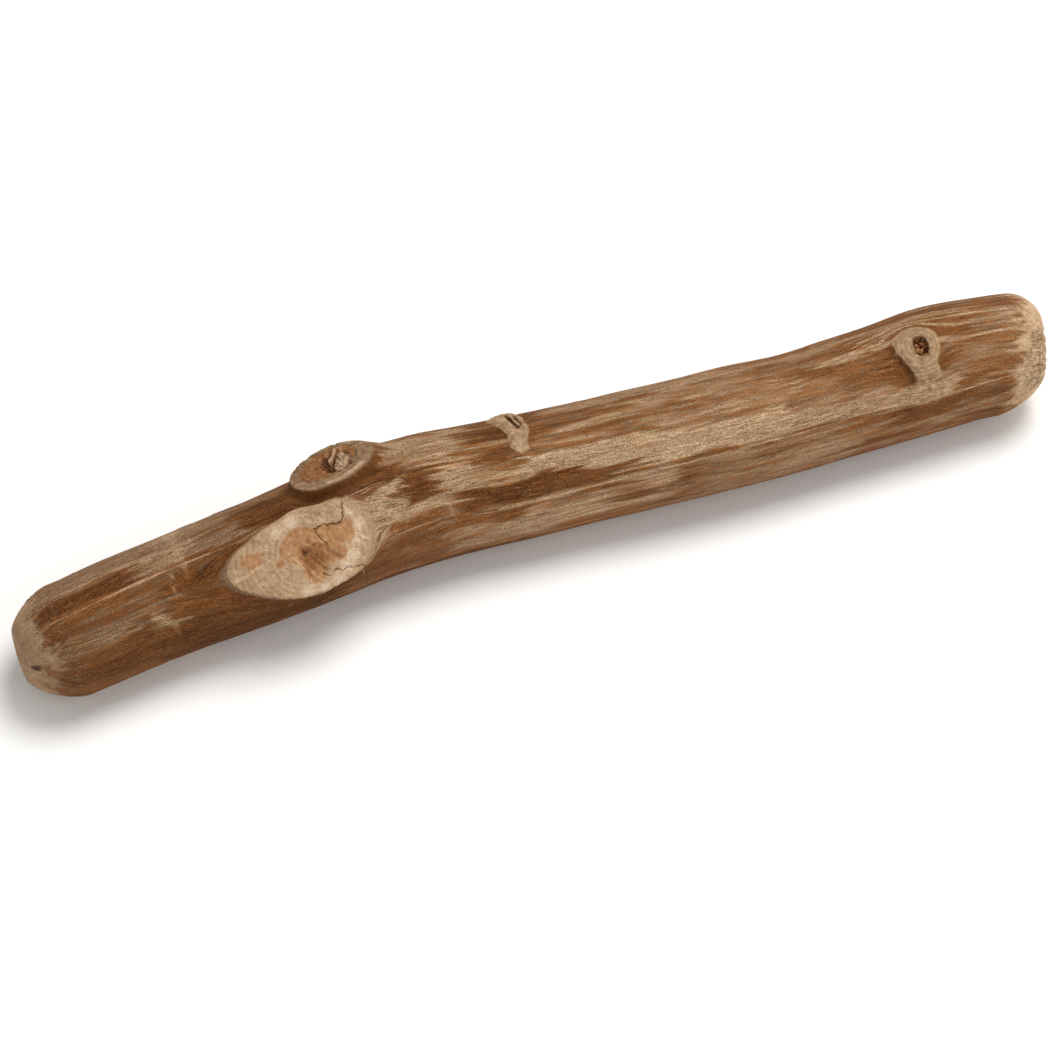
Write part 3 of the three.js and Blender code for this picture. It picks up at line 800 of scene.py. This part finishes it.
def finishCollar():
    cut = place["collar"]
    tail = cut["tail"]
    ragged = cut["depth"] + 0.15 * lumps + 0.08 * grit - 0.5 * tail * streak
    # The pale edge fades out more softly on the tail and on the right side; on the right this fade is partly
    # painted shade of the ring's rounded edge.
    soft = 0.25 + 0.9 * tail + 0.5 * smoothStep(176, 178.5, along)
    cover = smoothStep(-0.1 - soft, 0.1, ragged)
    fromFold = pathDistance(along, arc, roundStick(collar["fold"])) + 0.2 * lumps
    outside = fadeOut(-0.3, 0.1, ragged)
    relief[:] -= collar["foldDepth"] * fadeOut(0.1, 0.7, fromFold) * outside
    # Painted shadow: dark brown beside the fold, outside the collar, fading out over 2 mm, with painted shade
    # along the fold itself.
    tint(0.9 * fadeOut(0.3, 2, fromFold) * outside, 1, 0.08)
    raiseTo(shade, 0.5 * fadeOut(0.1, 1.2, fromFold) * outside)
    rings = np.sin(cut["size"] * 7 + 2 * lumps)
    tint(cover * smoothStep(-0.4, 0, ragged + tail), 0.16, 0.5 + 0.28 * lumps + 0.12 * rings)
    raiseTo(callus, cover * (1 - 0.8 * tail))
    relief[:] += smoothStep(0, 0.4, ragged) * (0.04 * grit + 0.06 * lumps + 0.02 * rings)
    pit, hollow = openPit(collar, cut, 0.14, 0.05)
    crumbs = noiseAt(plain, 0.5, 53.3)
    relief[:] -= hollow * (collar["pit"]["depth"] + 0.9 * crumbs)
    relief[:] += collar["lipHeight"] * bell(pit - 1.2, 0.15)
    dark = smoothStep(0.02, 0.3, hollow)
    tint(dark, 0.85, 0.45 - 1.4 * crumbs)
    raiseTo(shade, dark * np.clip(0.25 + 1.6 * crumbs, 0, 0.9))
    raiseTo(shade, 0.6 * bell(pit - 0.85, 0.18) * (cut["near"] > 0.5))


def finishScar():
    ragged = place["scar"] + 0.15 * lumps + 0.08 * grit
    cover = smoothStep(-0.05, 0.2, ragged)
    tint(cover, 0, 0.52 + 0.4 * lumps)
    raiseTo(callus, cover)
    relief[:] += smoothStep(0.1, 0.5, ragged) * (0.07 * grit + 0.14 * lumps)
    for halfWidth, path in twigScar["slots"]:
        slot = pathCover(along + 0.25 * lumps + 0.1 * grit, arc, roundStick(path), halfWidth, 0.5, 1.1)
        relief[:] -= twigScar["slotDepth"] * slot
        tint(slot, 1, 0.2)
        raiseTo(shade, 0.45 * slot)


for finish in (finishTrunk, finishScuffs, finishEnds, finishFaces, finishTail, finishFrontCut, finishUpperCut,
               finishRot, finishCollar, finishScar):
    finish()
    print("done:", finish.__name__)


# The points go to their places, and the middle of their box to the middle of the frame's box

frameLow, frameHigh = (np.array(corner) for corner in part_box("stick"))
centring = (frameLow + frameHigh) / 2 - (plain.min(0) + plain.max(0)) / 2 * mm
centring[2] = frameLow[2] - plain[:, 2].min() * mm


def toFrame(points):
    return np.clip(points * mm + centring, frameLow, frameHigh)


def addObject(name, data):
    made = bpy.data.objects.new(name, data)
    bpy.context.scene.collection.objects.link(made)
    return made


def addMesh(name, bm, spots, attributes):  # the points go to their spots, and each gets its attributes
    for vertex, spot in zip(bm.verts, spots):
        vertex.co = spot
    bmesh.ops.recalc_face_normals(bm, faces=bm.faces[:])
    mesh = bpy.data.meshes.new(name)
    bm.to_mesh(mesh)
    for key, values in attributes.items():
        kind, field = ("FLOAT_VECTOR", "vector") if values.ndim == 2 else ("FLOAT", "value")
        layer = mesh.attributes.new(key, kind, "POINT")
        layer.data.foreach_set(field, values.astype(np.float32).ravel())
    mesh.shade_smooth()
    mesh.materials.append(rubbedWoodMaterial)
    return addObject(name, mesh)


def cutPlaces():  # where each point lies on its cut or its sawn end, in mm from the middle of the rays
    upper = place["upper"]
    nowhere = np.zeros(along.shape)
    onFace = np.stack([*fromPith(place["front"]), nowhere], -1)
    onUpper = np.stack([upper["right"], upper["down"], nowhere], -1)
    onCuts = np.where((upper["outside"] < 0.4)[:, None], onUpper, onFace)
    return np.where((place["share"] < 0.999)[:, None], place["grain"] * (0, 1, 1), onCuts)


def buildStick():
    points = standPlaces(place, relief)
    points[:, 0] += faceRelief
    numbers = {"bark": bark, "tone": tone, "cut": cutShare, "heart": heart, "shade": shade, "callus": callus}
    attributes = {name: np.clip(values, -1, 2) for name, values in numbers.items()}
    attributes.update(cutPlace=cutPlaces(), grain=place["grain"])
    return addMesh("stickBody", blankMesh, toFrame(points), attributes)


# The rubbed wood: brown inner bark and pale wood, parted along the fibres

def paletteColour(red, green, blue):  # screen colour of 0 to 255 to scene colour
    return [((c / 255 + 0.055) / 1.055) ** 2.4 if c > 10 else c / 3294.6 for c in (red, green, blue)] + [1]


rubbedWood = {
    "bark": [(0, (66, 34, 11)), (0.25, (99, 60, 28)), (0.5, (121, 76, 40)), (0.75, (143, 96, 57)),
             (1, (166, 119, 79))],
    "wood": [(0, (106, 78, 55)), (0.25, (135, 106, 79)), (0.5, (160, 129, 99)), (0.75, (185, 152, 118)),
             (1, (210, 183, 151))],
    "cut": [(0, (138, 108, 80)), (0.4, (176, 144, 112)), (0.7, (196, 166, 134)), (1, (214, 192, 168))],
    "heart": [(0, (116, 74, 43)), (0.3, (143, 96, 60)), (0.6, (168, 121, 81)), (1, (194, 156, 117))],
    "shade": (52, 28, 14),
    "streakLength": 9, "streakWidth": 0.6, "dashLength": 4, "dashWidth": 0.3,
    "hairLength": 2.8, "hairWidth": 0.18, "poreLength": 0.34, "poreWidth": 0.19,
    "blotchScale": 3600,  # per metre
    "streakiness": 0.9,  # how much more the edges between bark and wood fray where the two mix
    "bumpStrength": 0.8, "bumpDepth": 0.24,
    "sheen": 0.08, "barkRoughness": 0.75, "woodRoughness": 0.9,
}


def newMaterial(name):
    material = bpy.data.materials.new(name)
    material.use_nodes = True
    material.node_tree.nodes.clear()
    return material, material.node_tree


def addNode(tree, kind, inputs=None, **settings):  # inputs are sockets to link or values to set
    node = tree.nodes.new("ShaderNode" + kind)
    for name, value in settings.items():
        setattr(node, name, value)
    for key, value in (inputs or {}).items():
        if isinstance(value, bpy.types.NodeSocket):
            tree.links.new(value, node.inputs[key])
        else:
            node.inputs[key].default_value = value
    return node


def readAttribute(tree, name, output="Fac"):
    return addNode(tree, "Attribute", attribute_name=name).outputs[output]


def mathNode(tree, operation, *values):
    return addNode(tree, "Math", dict(enumerate(values)), operation=operation).outputs[0]


def fibreNoise(tree, vector, length, width, detail):
    scaled = addNode(tree, "Mapping", {"Vector": vector, "Scale": (1 / length, 1 / width, 1 / width)})
    return noiseNode(tree, scaled.outputs[0], 1.0, detail, 0.6)


def colourRamp(tree, factor, stops):
    ramp = addNode(tree, "ValToRGB", {"Fac": factor})
    elements = ramp.color_ramp.elements
    while len(elements) < len(stops):
        elements.new(0.5)
    for element, (position, colour) in zip(elements, stops):
        element.position = position
        element.color = paletteColour(*colour)
    return ramp.outputs["Color"]


def mixColour(tree, factor, first, second):
    mix = addNode(tree, "Mix", {0: factor, 6: first, 7: second}, data_type="RGBA")
    return mix.outputs[2]


def mixValue(tree, factor, first, second):
    return addNode(tree, "Mix", {0: factor, 2: first, 3: second}, data_type="FLOAT").outputs[0]


def noiseNode(tree, vector, scale, detail, roughness=0.5):
    return addNode(tree, "TexNoise", {"Vector": vector, "Scale": scale, "Detail": detail,
                                      "Roughness": roughness}).outputs["Fac"]


def softStep(tree, value, low, high):
    return addNode(tree, "MapRange", {"Value": value, "From Min": low, "From Max": high},
                   interpolation_type="SMOOTHSTEP").outputs[0]


def scaleAdd(tree, value, share, more):
    return mathNode(tree, "MULTIPLY_ADD", value, share, more)


def centred(tree, noiseSocket, strength):
    return scaleAdd(tree, noiseSocket, strength, -0.5 * strength)


def addNoises(tree, value, *noises):  # each is a noise and its strength, and is centred on 0
    for noiseSocket, strength in noises:
        value = mathNode(tree, "ADD", value, centred(tree, noiseSocket, strength))
    return value


def mixBark(tree, patterns, callus):  # the bark and wood of the trunk, and where it is bark
    streaks, dashes, hairs, pores, blotches = patterns
    edge = addNoises(tree, centred(tree, streaks, 1.0), (dashes, 1.4), (hairs, 1.2), (pores, 1.2))
    edge = mixValue(tree, callus, edge, centred(tree, blotches, 1.3))
    barkShare = readAttribute(tree, "bark")
    whole = mathNode(tree, "ABSOLUTE", scaleAdd(tree, barkShare, 2.0, -1.0))
    mixed = mathNode(tree, "SUBTRACT", 1.0, mathNode(tree, "MINIMUM", whole, 1.0))
    frayed = scaleAdd(tree, mixed, rubbedWood["streakiness"], 1.0)
    edge = mathNode(tree, "ADD", mathNode(tree, "MULTIPLY", edge, frayed), barkShare)
    isBark = softStep(tree, edge, 0.37, 0.63)
    fine = addNoises(tree, centred(tree, dashes, 0.9), (hairs, 1.5), (pores, 1.8))
    fine = mixValue(tree, callus, fine, centred(tree, blotches, 1.5))
    clouds = fibreNoise(tree, readAttribute(tree, "grain", "Vector"), 22, 4, 2)
    lightness = addNoises(tree, readAttribute(tree, "tone"), (clouds, 0.5))
    barkLight = scaleAdd(tree, fine, 0.95, lightness)
    barkLight = mathNode(tree, "ADD", barkLight, scaleAdd(tree, edge, -0.35, 0.33))
    woodLight = scaleAdd(tree, fine, 1.1, lightness)
    woodLight = mathNode(tree, "ADD", woodLight, mathNode(tree, "MULTIPLY", edge, -0.1))
    barkColour = colourRamp(tree, barkLight, rubbedWood["bark"])
    woodColour = colourRamp(tree, woodLight, rubbedWood["wood"])
    return mixColour(tree, isBark, woodColour, barkColour), isBark


def mixCut(tree, blotches):  # the sawn wood of the cuts and faces, with its rays, rings and brown heart
    cutPlace = readAttribute(tree, "cutPlace", "Vector")
    away = addNode(tree, "VectorMath", {0: cutPlace}, operation="LENGTH").outputs["Value"]
    toward = addNode(tree, "VectorMath", {0: cutPlace}, operation="NORMALIZE").outputs["Vector"]
    toward = addNode(tree, "VectorMath", {0: toward, "Scale": 6.0}, operation="SCALE").outputs["Vector"]
    spread = addNode(tree, "CombineXYZ", {2: mathNode(tree, "MULTIPLY", away, 0.5)}).outputs[0]
    rayPlace = addNode(tree, "VectorMath", {0: toward, 1: spread}, operation="ADD").outputs["Vector"]
    rays = noiseNode(tree, rayPlace, 2.2, 4.0)
    mottle = noiseNode(tree, cutPlace, 1.6, 5.0, 0.65)
    ringAt = scaleAdd(tree, mottle, 7.0, mathNode(tree, "MULTIPLY", away, 6.0))
    rings = mathNode(tree, "SINE", ringAt)
    tone = readAttribute(tree, "tone")
    cutLight = addNoises(tree, tone, (rays, 0.5), (mottle, 0.7), (blotches, 1.3))
    cutLight = scaleAdd(tree, rings, 0.07, cutLight)
    heartLight = addNoises(tree, tone, (rays, 0.6), (blotches, 0.6))
    heartLight = mathNode(tree, "ADD", scaleAdd(tree, rings, 0.05, heartLight), 0.1)
    isHeart = addNoises(tree, readAttribute(tree, "heart"), (mottle, 0.6), (blotches, 0.7))
    isHeart = softStep(tree, isHeart, 0.15, 0.85)
    return mixColour(tree, isHeart, colourRamp(tree, cutLight, rubbedWood["cut"]),
                     colourRamp(tree, heartLight, rubbedWood["heart"]))


def makeRubbedWood():
    settings = rubbedWood
    material, tree = newMaterial("rubbedWood")
    grain = readAttribute(tree, "grain", "Vector")
    streaks = fibreNoise(tree, grain, settings["streakLength"], settings["streakWidth"], 3)
    dashes = fibreNoise(tree, grain, settings["dashLength"], settings["dashWidth"], 2)
    hairs = fibreNoise(tree, grain, settings["hairLength"], settings["hairWidth"], 1)
    objectPlace = addNode(tree, "TexCoord").outputs["Object"]
    pores = fibreNoise(tree, objectPlace, settings["poreLength"] * mm, settings["poreWidth"] * mm, 1)
    blotches = noiseNode(tree, objectPlace, settings["blotchScale"], 4.0, 0.7)
    callus = readAttribute(tree, "callus")

    colour, isBark = mixBark(tree, (streaks, dashes, hairs, pores, blotches), callus)
    colour = mixColour(tree, readAttribute(tree, "cut"), colour, mixCut(tree, blotches))
    shadeShare = mathNode(tree, "MULTIPLY", readAttribute(tree, "shade"), 0.92)
    colour = mixColour(tree, shadeShare, colour, paletteColour(*settings["shade"]))

    height = scaleAdd(tree, streaks, 0.6, mathNode(tree, "MULTIPLY", dashes, 0.9))
    for pattern, share in ((hairs, 0.6), (pores, 0.4)):
        height = scaleAdd(tree, pattern, share, height)
    height = mixValue(tree, callus, height, blotches)
    height = scaleAdd(tree, isBark, 0.35, height)
    bump = addNode(tree, "Bump", {"Height": height, "Strength": settings["bumpStrength"],
                                  "Distance": settings["bumpDepth"] * mm})
    roughness = addNode(tree, "MapRange", {"Value": isBark, "To Min": settings["woodRoughness"],
                                           "To Max": settings["barkRoughness"]}).outputs[0]
    shader = addNode(tree, "BsdfPrincipled", {"Base Color": colour, "Normal": bump.outputs[0],
                                              "Roughness": addNoises(tree, roughness, (dashes, 0.2)),
                                              "Specular IOR Level": settings["sheen"]})
    addNode(tree, "OutputMaterial", {"Surface": shader.outputs[0]})
    return material


rubbedWoodMaterial = makeRubbedWood()
stickBody = buildStick()
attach(stickBody, "root")
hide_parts("stick")
triangles = sum(len(p.vertices) - 2 for p in stickBody.data.polygons)
print("stick:", triangles, "triangles")


# Loose fibres: torn strands that still hold at their roots, and long ones that lie on the wood

fibres = {
    "seed": 23, "rings": 6, "tip": 0.3, "sunk": 0.05, "strandRings": 18, "strandTone": 0.85,
    # from and to along, the lowest and highest angle of the roots, how many, the longest, the tips' height,
    # the way they point, 0 along the stick, how far that spreads, half thickness
    "tufts": [
        (72.4, 74.6, 6, 36, 34, 2, 0.2, 0, 6, 0.06), (64, 73, 38, 56, 20, 2.6, 0.25, -10, 12, 0.06),
        (62, 72, 5, 14, 22, 3, 0.35, 0, 12, 0.06), (61, 66, 12, 50, 16, 1.6, 0.2, 25, 12, 0.06),
        (3.4, 7, -60, 95, 70, 2.4, 0.15, 0, 12, 0.06), (193, 196.5, -60, 95, 70, 2, 0.15, 180, 12, 0.06),
        (195.8, 199, 8, 84, 170, 1.3, 0.8, 10, 35, 0.1), (198, 199.7, 0, 88, 130, 0.9, 0.25, 0, 32, 0.05),
        (28.5, 31, -45, 16, 26, 1.4, 0.25, 90, 12, 0.06), (95, 101, -50, 10, 24, 1.2, 0.3, 60, 12, 0.06),
        (170, 180, -22, 50, 40, 1.4, 0.2, 90, 12, 0.06), (84, 168, 12, 50, 90, 4, 0.15, 0, 12, 0.06),
        (10, 190, -180, 180, 200, 3.5, 0.18, 180, 12, 0.06),
    ],
    "strands": [
        (0.07, [(3.8, 10.2), (10, 9), (17.7, 8.1), (24, 7.4)]), (0.06, [(22, 7), (29.7, 6.6), (36, 6.8)]),
        (0.06, [(34, 7.4), (40, 7), (46, 7.2)]), (0.08, [(92, 57), (98, 56.6), (105.4, 56)]),
        (0.07, [(104, 56.4), (116, 55), (124, 54.6)]), (0.08, [(122, 54.2), (132, 53.6), (146, 52.4)]),
        (0.07, [(144, 52.8), (152, 51.6), (162, 51.2)]), (0.07, [(60, 62), (72, 55), (84, 53.4)]),
        (0.06, [(86, 57.6), (94, 58.4), (103, 57.8)]),
        (0.09, [(160, -8), (166, -14), (171.4, -20), (175.4, -22), (177.9, -21), (183, -17), (190, -16)]),
        (0.08, [(163, -8), (168, -11), (171.5, -17), (174.6, -20.4), (177.4, -18), (180.3, -8)]),
        (0.08, [(163, -15), (168, -20), (173, -24.5), (177, -25), (182, -21)]),
        (0.07, [(165, -20), (171, -26), (176, -29), (181, -26), (188, -23)]),
        (0.08, [(177.6, -16), (181, -9), (183.9, -5.4), (188, -6), (195.2, -11)]),
        (0.07, [(179.3, 8), (182, 11), (185.6, 10), (192, 7)]), (0.08, [(182, 58), (188, 56), (196, 52)]),
        (0.15, [(62.4, 70), (62.3, 75), (62.5, 83)]),
        (0.08, [(63, 40), (63.7, 47), (65, 53), (66.9, 55), (69.3, 52)]),
        (0.07, [(64.3, 11), (66.4, 10), (68.4, 9), (70.6, 8), (72, 8.6)]),
        (0.08, [(67, 13), (69, 10.6), (71.5, 10)]), (0.07, [(48.2, 85.4), (49.2, 83.6)]),
        (0.06, [(38, 33), (41, 30), (44.5, 29)]),
    ],
}


def layFibres(surface, alongs, angles, lifts, thickness, tones):  # their middle lines on the finished stick
    shape = (*alongs.shape, 3)
    place = readPlaces(alongs.ravel(), angles.ravel(), np.ones(alongs.size))
    middles = standPlaces(place) * mm + centring
    for i, out in enumerate(place["out"]):  # down onto the surface from 3 mm over it
        start = Vector(middles[i] + out * 3 * mm)
        spot = surface.ray_cast(start, Vector(-out), 8 * mm)[0]
        middles[i] = np.array(spot or middles[i]) + out * (lifts.flat[i] * mm)
    middles, out, grain = (values.reshape(shape) for values in (middles, place["out"], place["grain"]))
    side = np.cross(np.gradient(middles, axis=1), out)
    side /= np.linalg.norm(side, axis=2)[..., None]
    return [{"middles": middles[i], "out": out[i], "side": side[i], "grain": grain[i],
             "thickness": thickness[i] * mm, "tone": tones[i]} for i in range(len(alongs))]


def planFibres(surface):
    rng = np.random.default_rng(fibres["seed"])
    plans = []
    steps = np.linspace(0, 1, fibres["rings"])[None, :]
    for start, end, low, high, count, longest, lift, way, spread, fineness in fibres["tufts"]:
        length = longest * rng.uniform(0.3, 1, (count, 1))
        aim = np.radians(way + rng.normal(0, spread, (count, 1)))
        forward = steps * length
        aside = rng.normal(0, 0.12, (count, 1)) * length * steps ** 2
        alongs = rng.uniform(start, end, (count, 1)) + forward * np.cos(aim) - aside * np.sin(aim)
        turned = (forward * np.sin(aim) + aside * np.cos(aim)) / mmPerDegree
        angles = rng.uniform(low, high, (count, 1)) + turned
        lifts = lift * rng.uniform(0, 1.2, (count, 1)) * steps ** 1.6 - fibres["sunk"]
        thickness = fineness * rng.uniform(0.6, 1.1, count)
        plans += layFibres(surface, alongs, angles, lifts, thickness, rng.uniform(0.3, 0.75, count))
    steps = np.linspace(0, 1, fibres["strandRings"])
    for thickness, path in fibres["strands"]:
        alongs, angles = (splineValue(column, steps * (len(path) - 1))[None, :] for column in zip(*path))
        lifts = 0.02 + 0.04 * np.sin(steps * 9 + path[0][0]) - 0.08 * (steps * 2 - 1) ** 6
        plans += layFibres(surface, alongs, angles, lifts, [thickness], [fibres["strandTone"]])
    return plans


def growFibres(plans):
    bm = bmesh.new()
    spots, grains, tones = [], [], []
    for plan in plans:
        rings = len(plan["middles"])
        made = bmesh.ops.create_cone(bm, cap_ends=True, segments=4, radius1=1, radius2=fibres["tip"], depth=1)
        sides = [e for v in made["verts"] for e in v.link_edges if v.co.z < 0 < e.other_vert(v).co.z]
        bmesh.ops.subdivide_edges(bm, edges=sides, cuts=rings - 2)
        bm.verts.ensure_lookup_table()
        for vertex in bm.verts[len(spots):]:
            ring = round((vertex.co.z + 0.5) * (rings - 1))
            aside = plan["side"][ring] * vertex.co.x + plan["out"][ring] * vertex.co.y
            spots.append(plan["middles"][ring] + aside * plan["thickness"])
            grains.append(plan["grain"][ring])
            tones.append(plan["tone"])
    made = addMesh("looseFibres", bm, np.clip(spots, frameLow, frameHigh),
                   {"grain": np.array(grains), "tone": np.array(tones)})
    bm.free()
    return made


looseFibres = growFibres(planFibres(BVHTree.FromBMesh(blankMesh)))
blankMesh.free()
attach(looseFibres, "root")
print("fibres:", len(looseFibres.data.polygons), "faces")


# The floor, the light and the camera

studio = {
    "floorSize": 3.0, "floorColour": (250, 249, 247),
    "target": (-4.77, -8.56, 11.0), "azimuth": -19.23, "elevation": 58, "distance": 1054.6, "lens": 196,
    "sensor": 36, "sky": 0.5,
    # the name, place, size and power of each lamp
    "lamps": [("keyLamp", (0.25, 0.15, 0.8), 0.5, 5.6), ("fillLamp", (0.6, -0.6, 0.45), 0.8, 2.0)],
}


def makeFloor():
    bm = bmesh.new()
    bmesh.ops.create_grid(bm, x_segments=1, y_segments=1, size=studio["floorSize"] / 2)
    mesh = bpy.data.meshes.new("paleFloor")
    bm.to_mesh(mesh)
    bm.free()
    floor = addObject("paleFloor", mesh)
    material, tree = newMaterial("palePaper")
    shader = addNode(tree, "BsdfPrincipled", {"Base Color": paletteColour(*studio["floorColour"]),
                                              "Roughness": 0.9, "Specular IOR Level": 0.1})
    addNode(tree, "OutputMaterial", {"Surface": shader.outputs[0]})
    mesh.materials.append(material)


def aimBack(made, spot, back):  # it stands at the spot and looks the way opposite to back
    made.location = spot
    made.rotation_mode = "QUATERNION"
    made.rotation_quaternion = (-back).to_track_quat("-Z", "Y")


def addLamp(name, place, size, power):
    lamp = bpy.data.lights.new(name, "AREA")
    lamp.shape = "DISK"
    lamp.size = size
    lamp.energy = power
    aimBack(addObject(name, lamp), place, Vector(place))


def lightScene():
    world = bpy.data.worlds.new("softSky")
    world.use_nodes = True
    background = world.node_tree.nodes["Background"]
    background.inputs["Color"].default_value = (1, 1, 1, 1)
    background.inputs["Strength"].default_value = studio["sky"]
    bpy.context.scene.world = world
    for lamp in studio["lamps"]:
        addLamp(*lamp)
    bpy.context.scene.view_settings.view_transform = "Standard"


def placeCamera():
    a, e = radians(studio["azimuth"]), radians(studio["elevation"])
    back = Vector((sin(a) * cos(e), -cos(a) * cos(e), sin(e)))
    data = bpy.data.cameras.new("camera")
    data.lens = studio["lens"]
    data.sensor_width = studio["sensor"]
    data.clip_start, data.clip_end = 0.05, 20
    camera = addObject("camera", data)
    aimBack(camera, Vector(studio["target"]) * mm + back * studio["distance"] * mm, back)
    bpy.context.scene.camera = camera


makeFloor()
lightScene()
placeCamera()
print("studio ready")
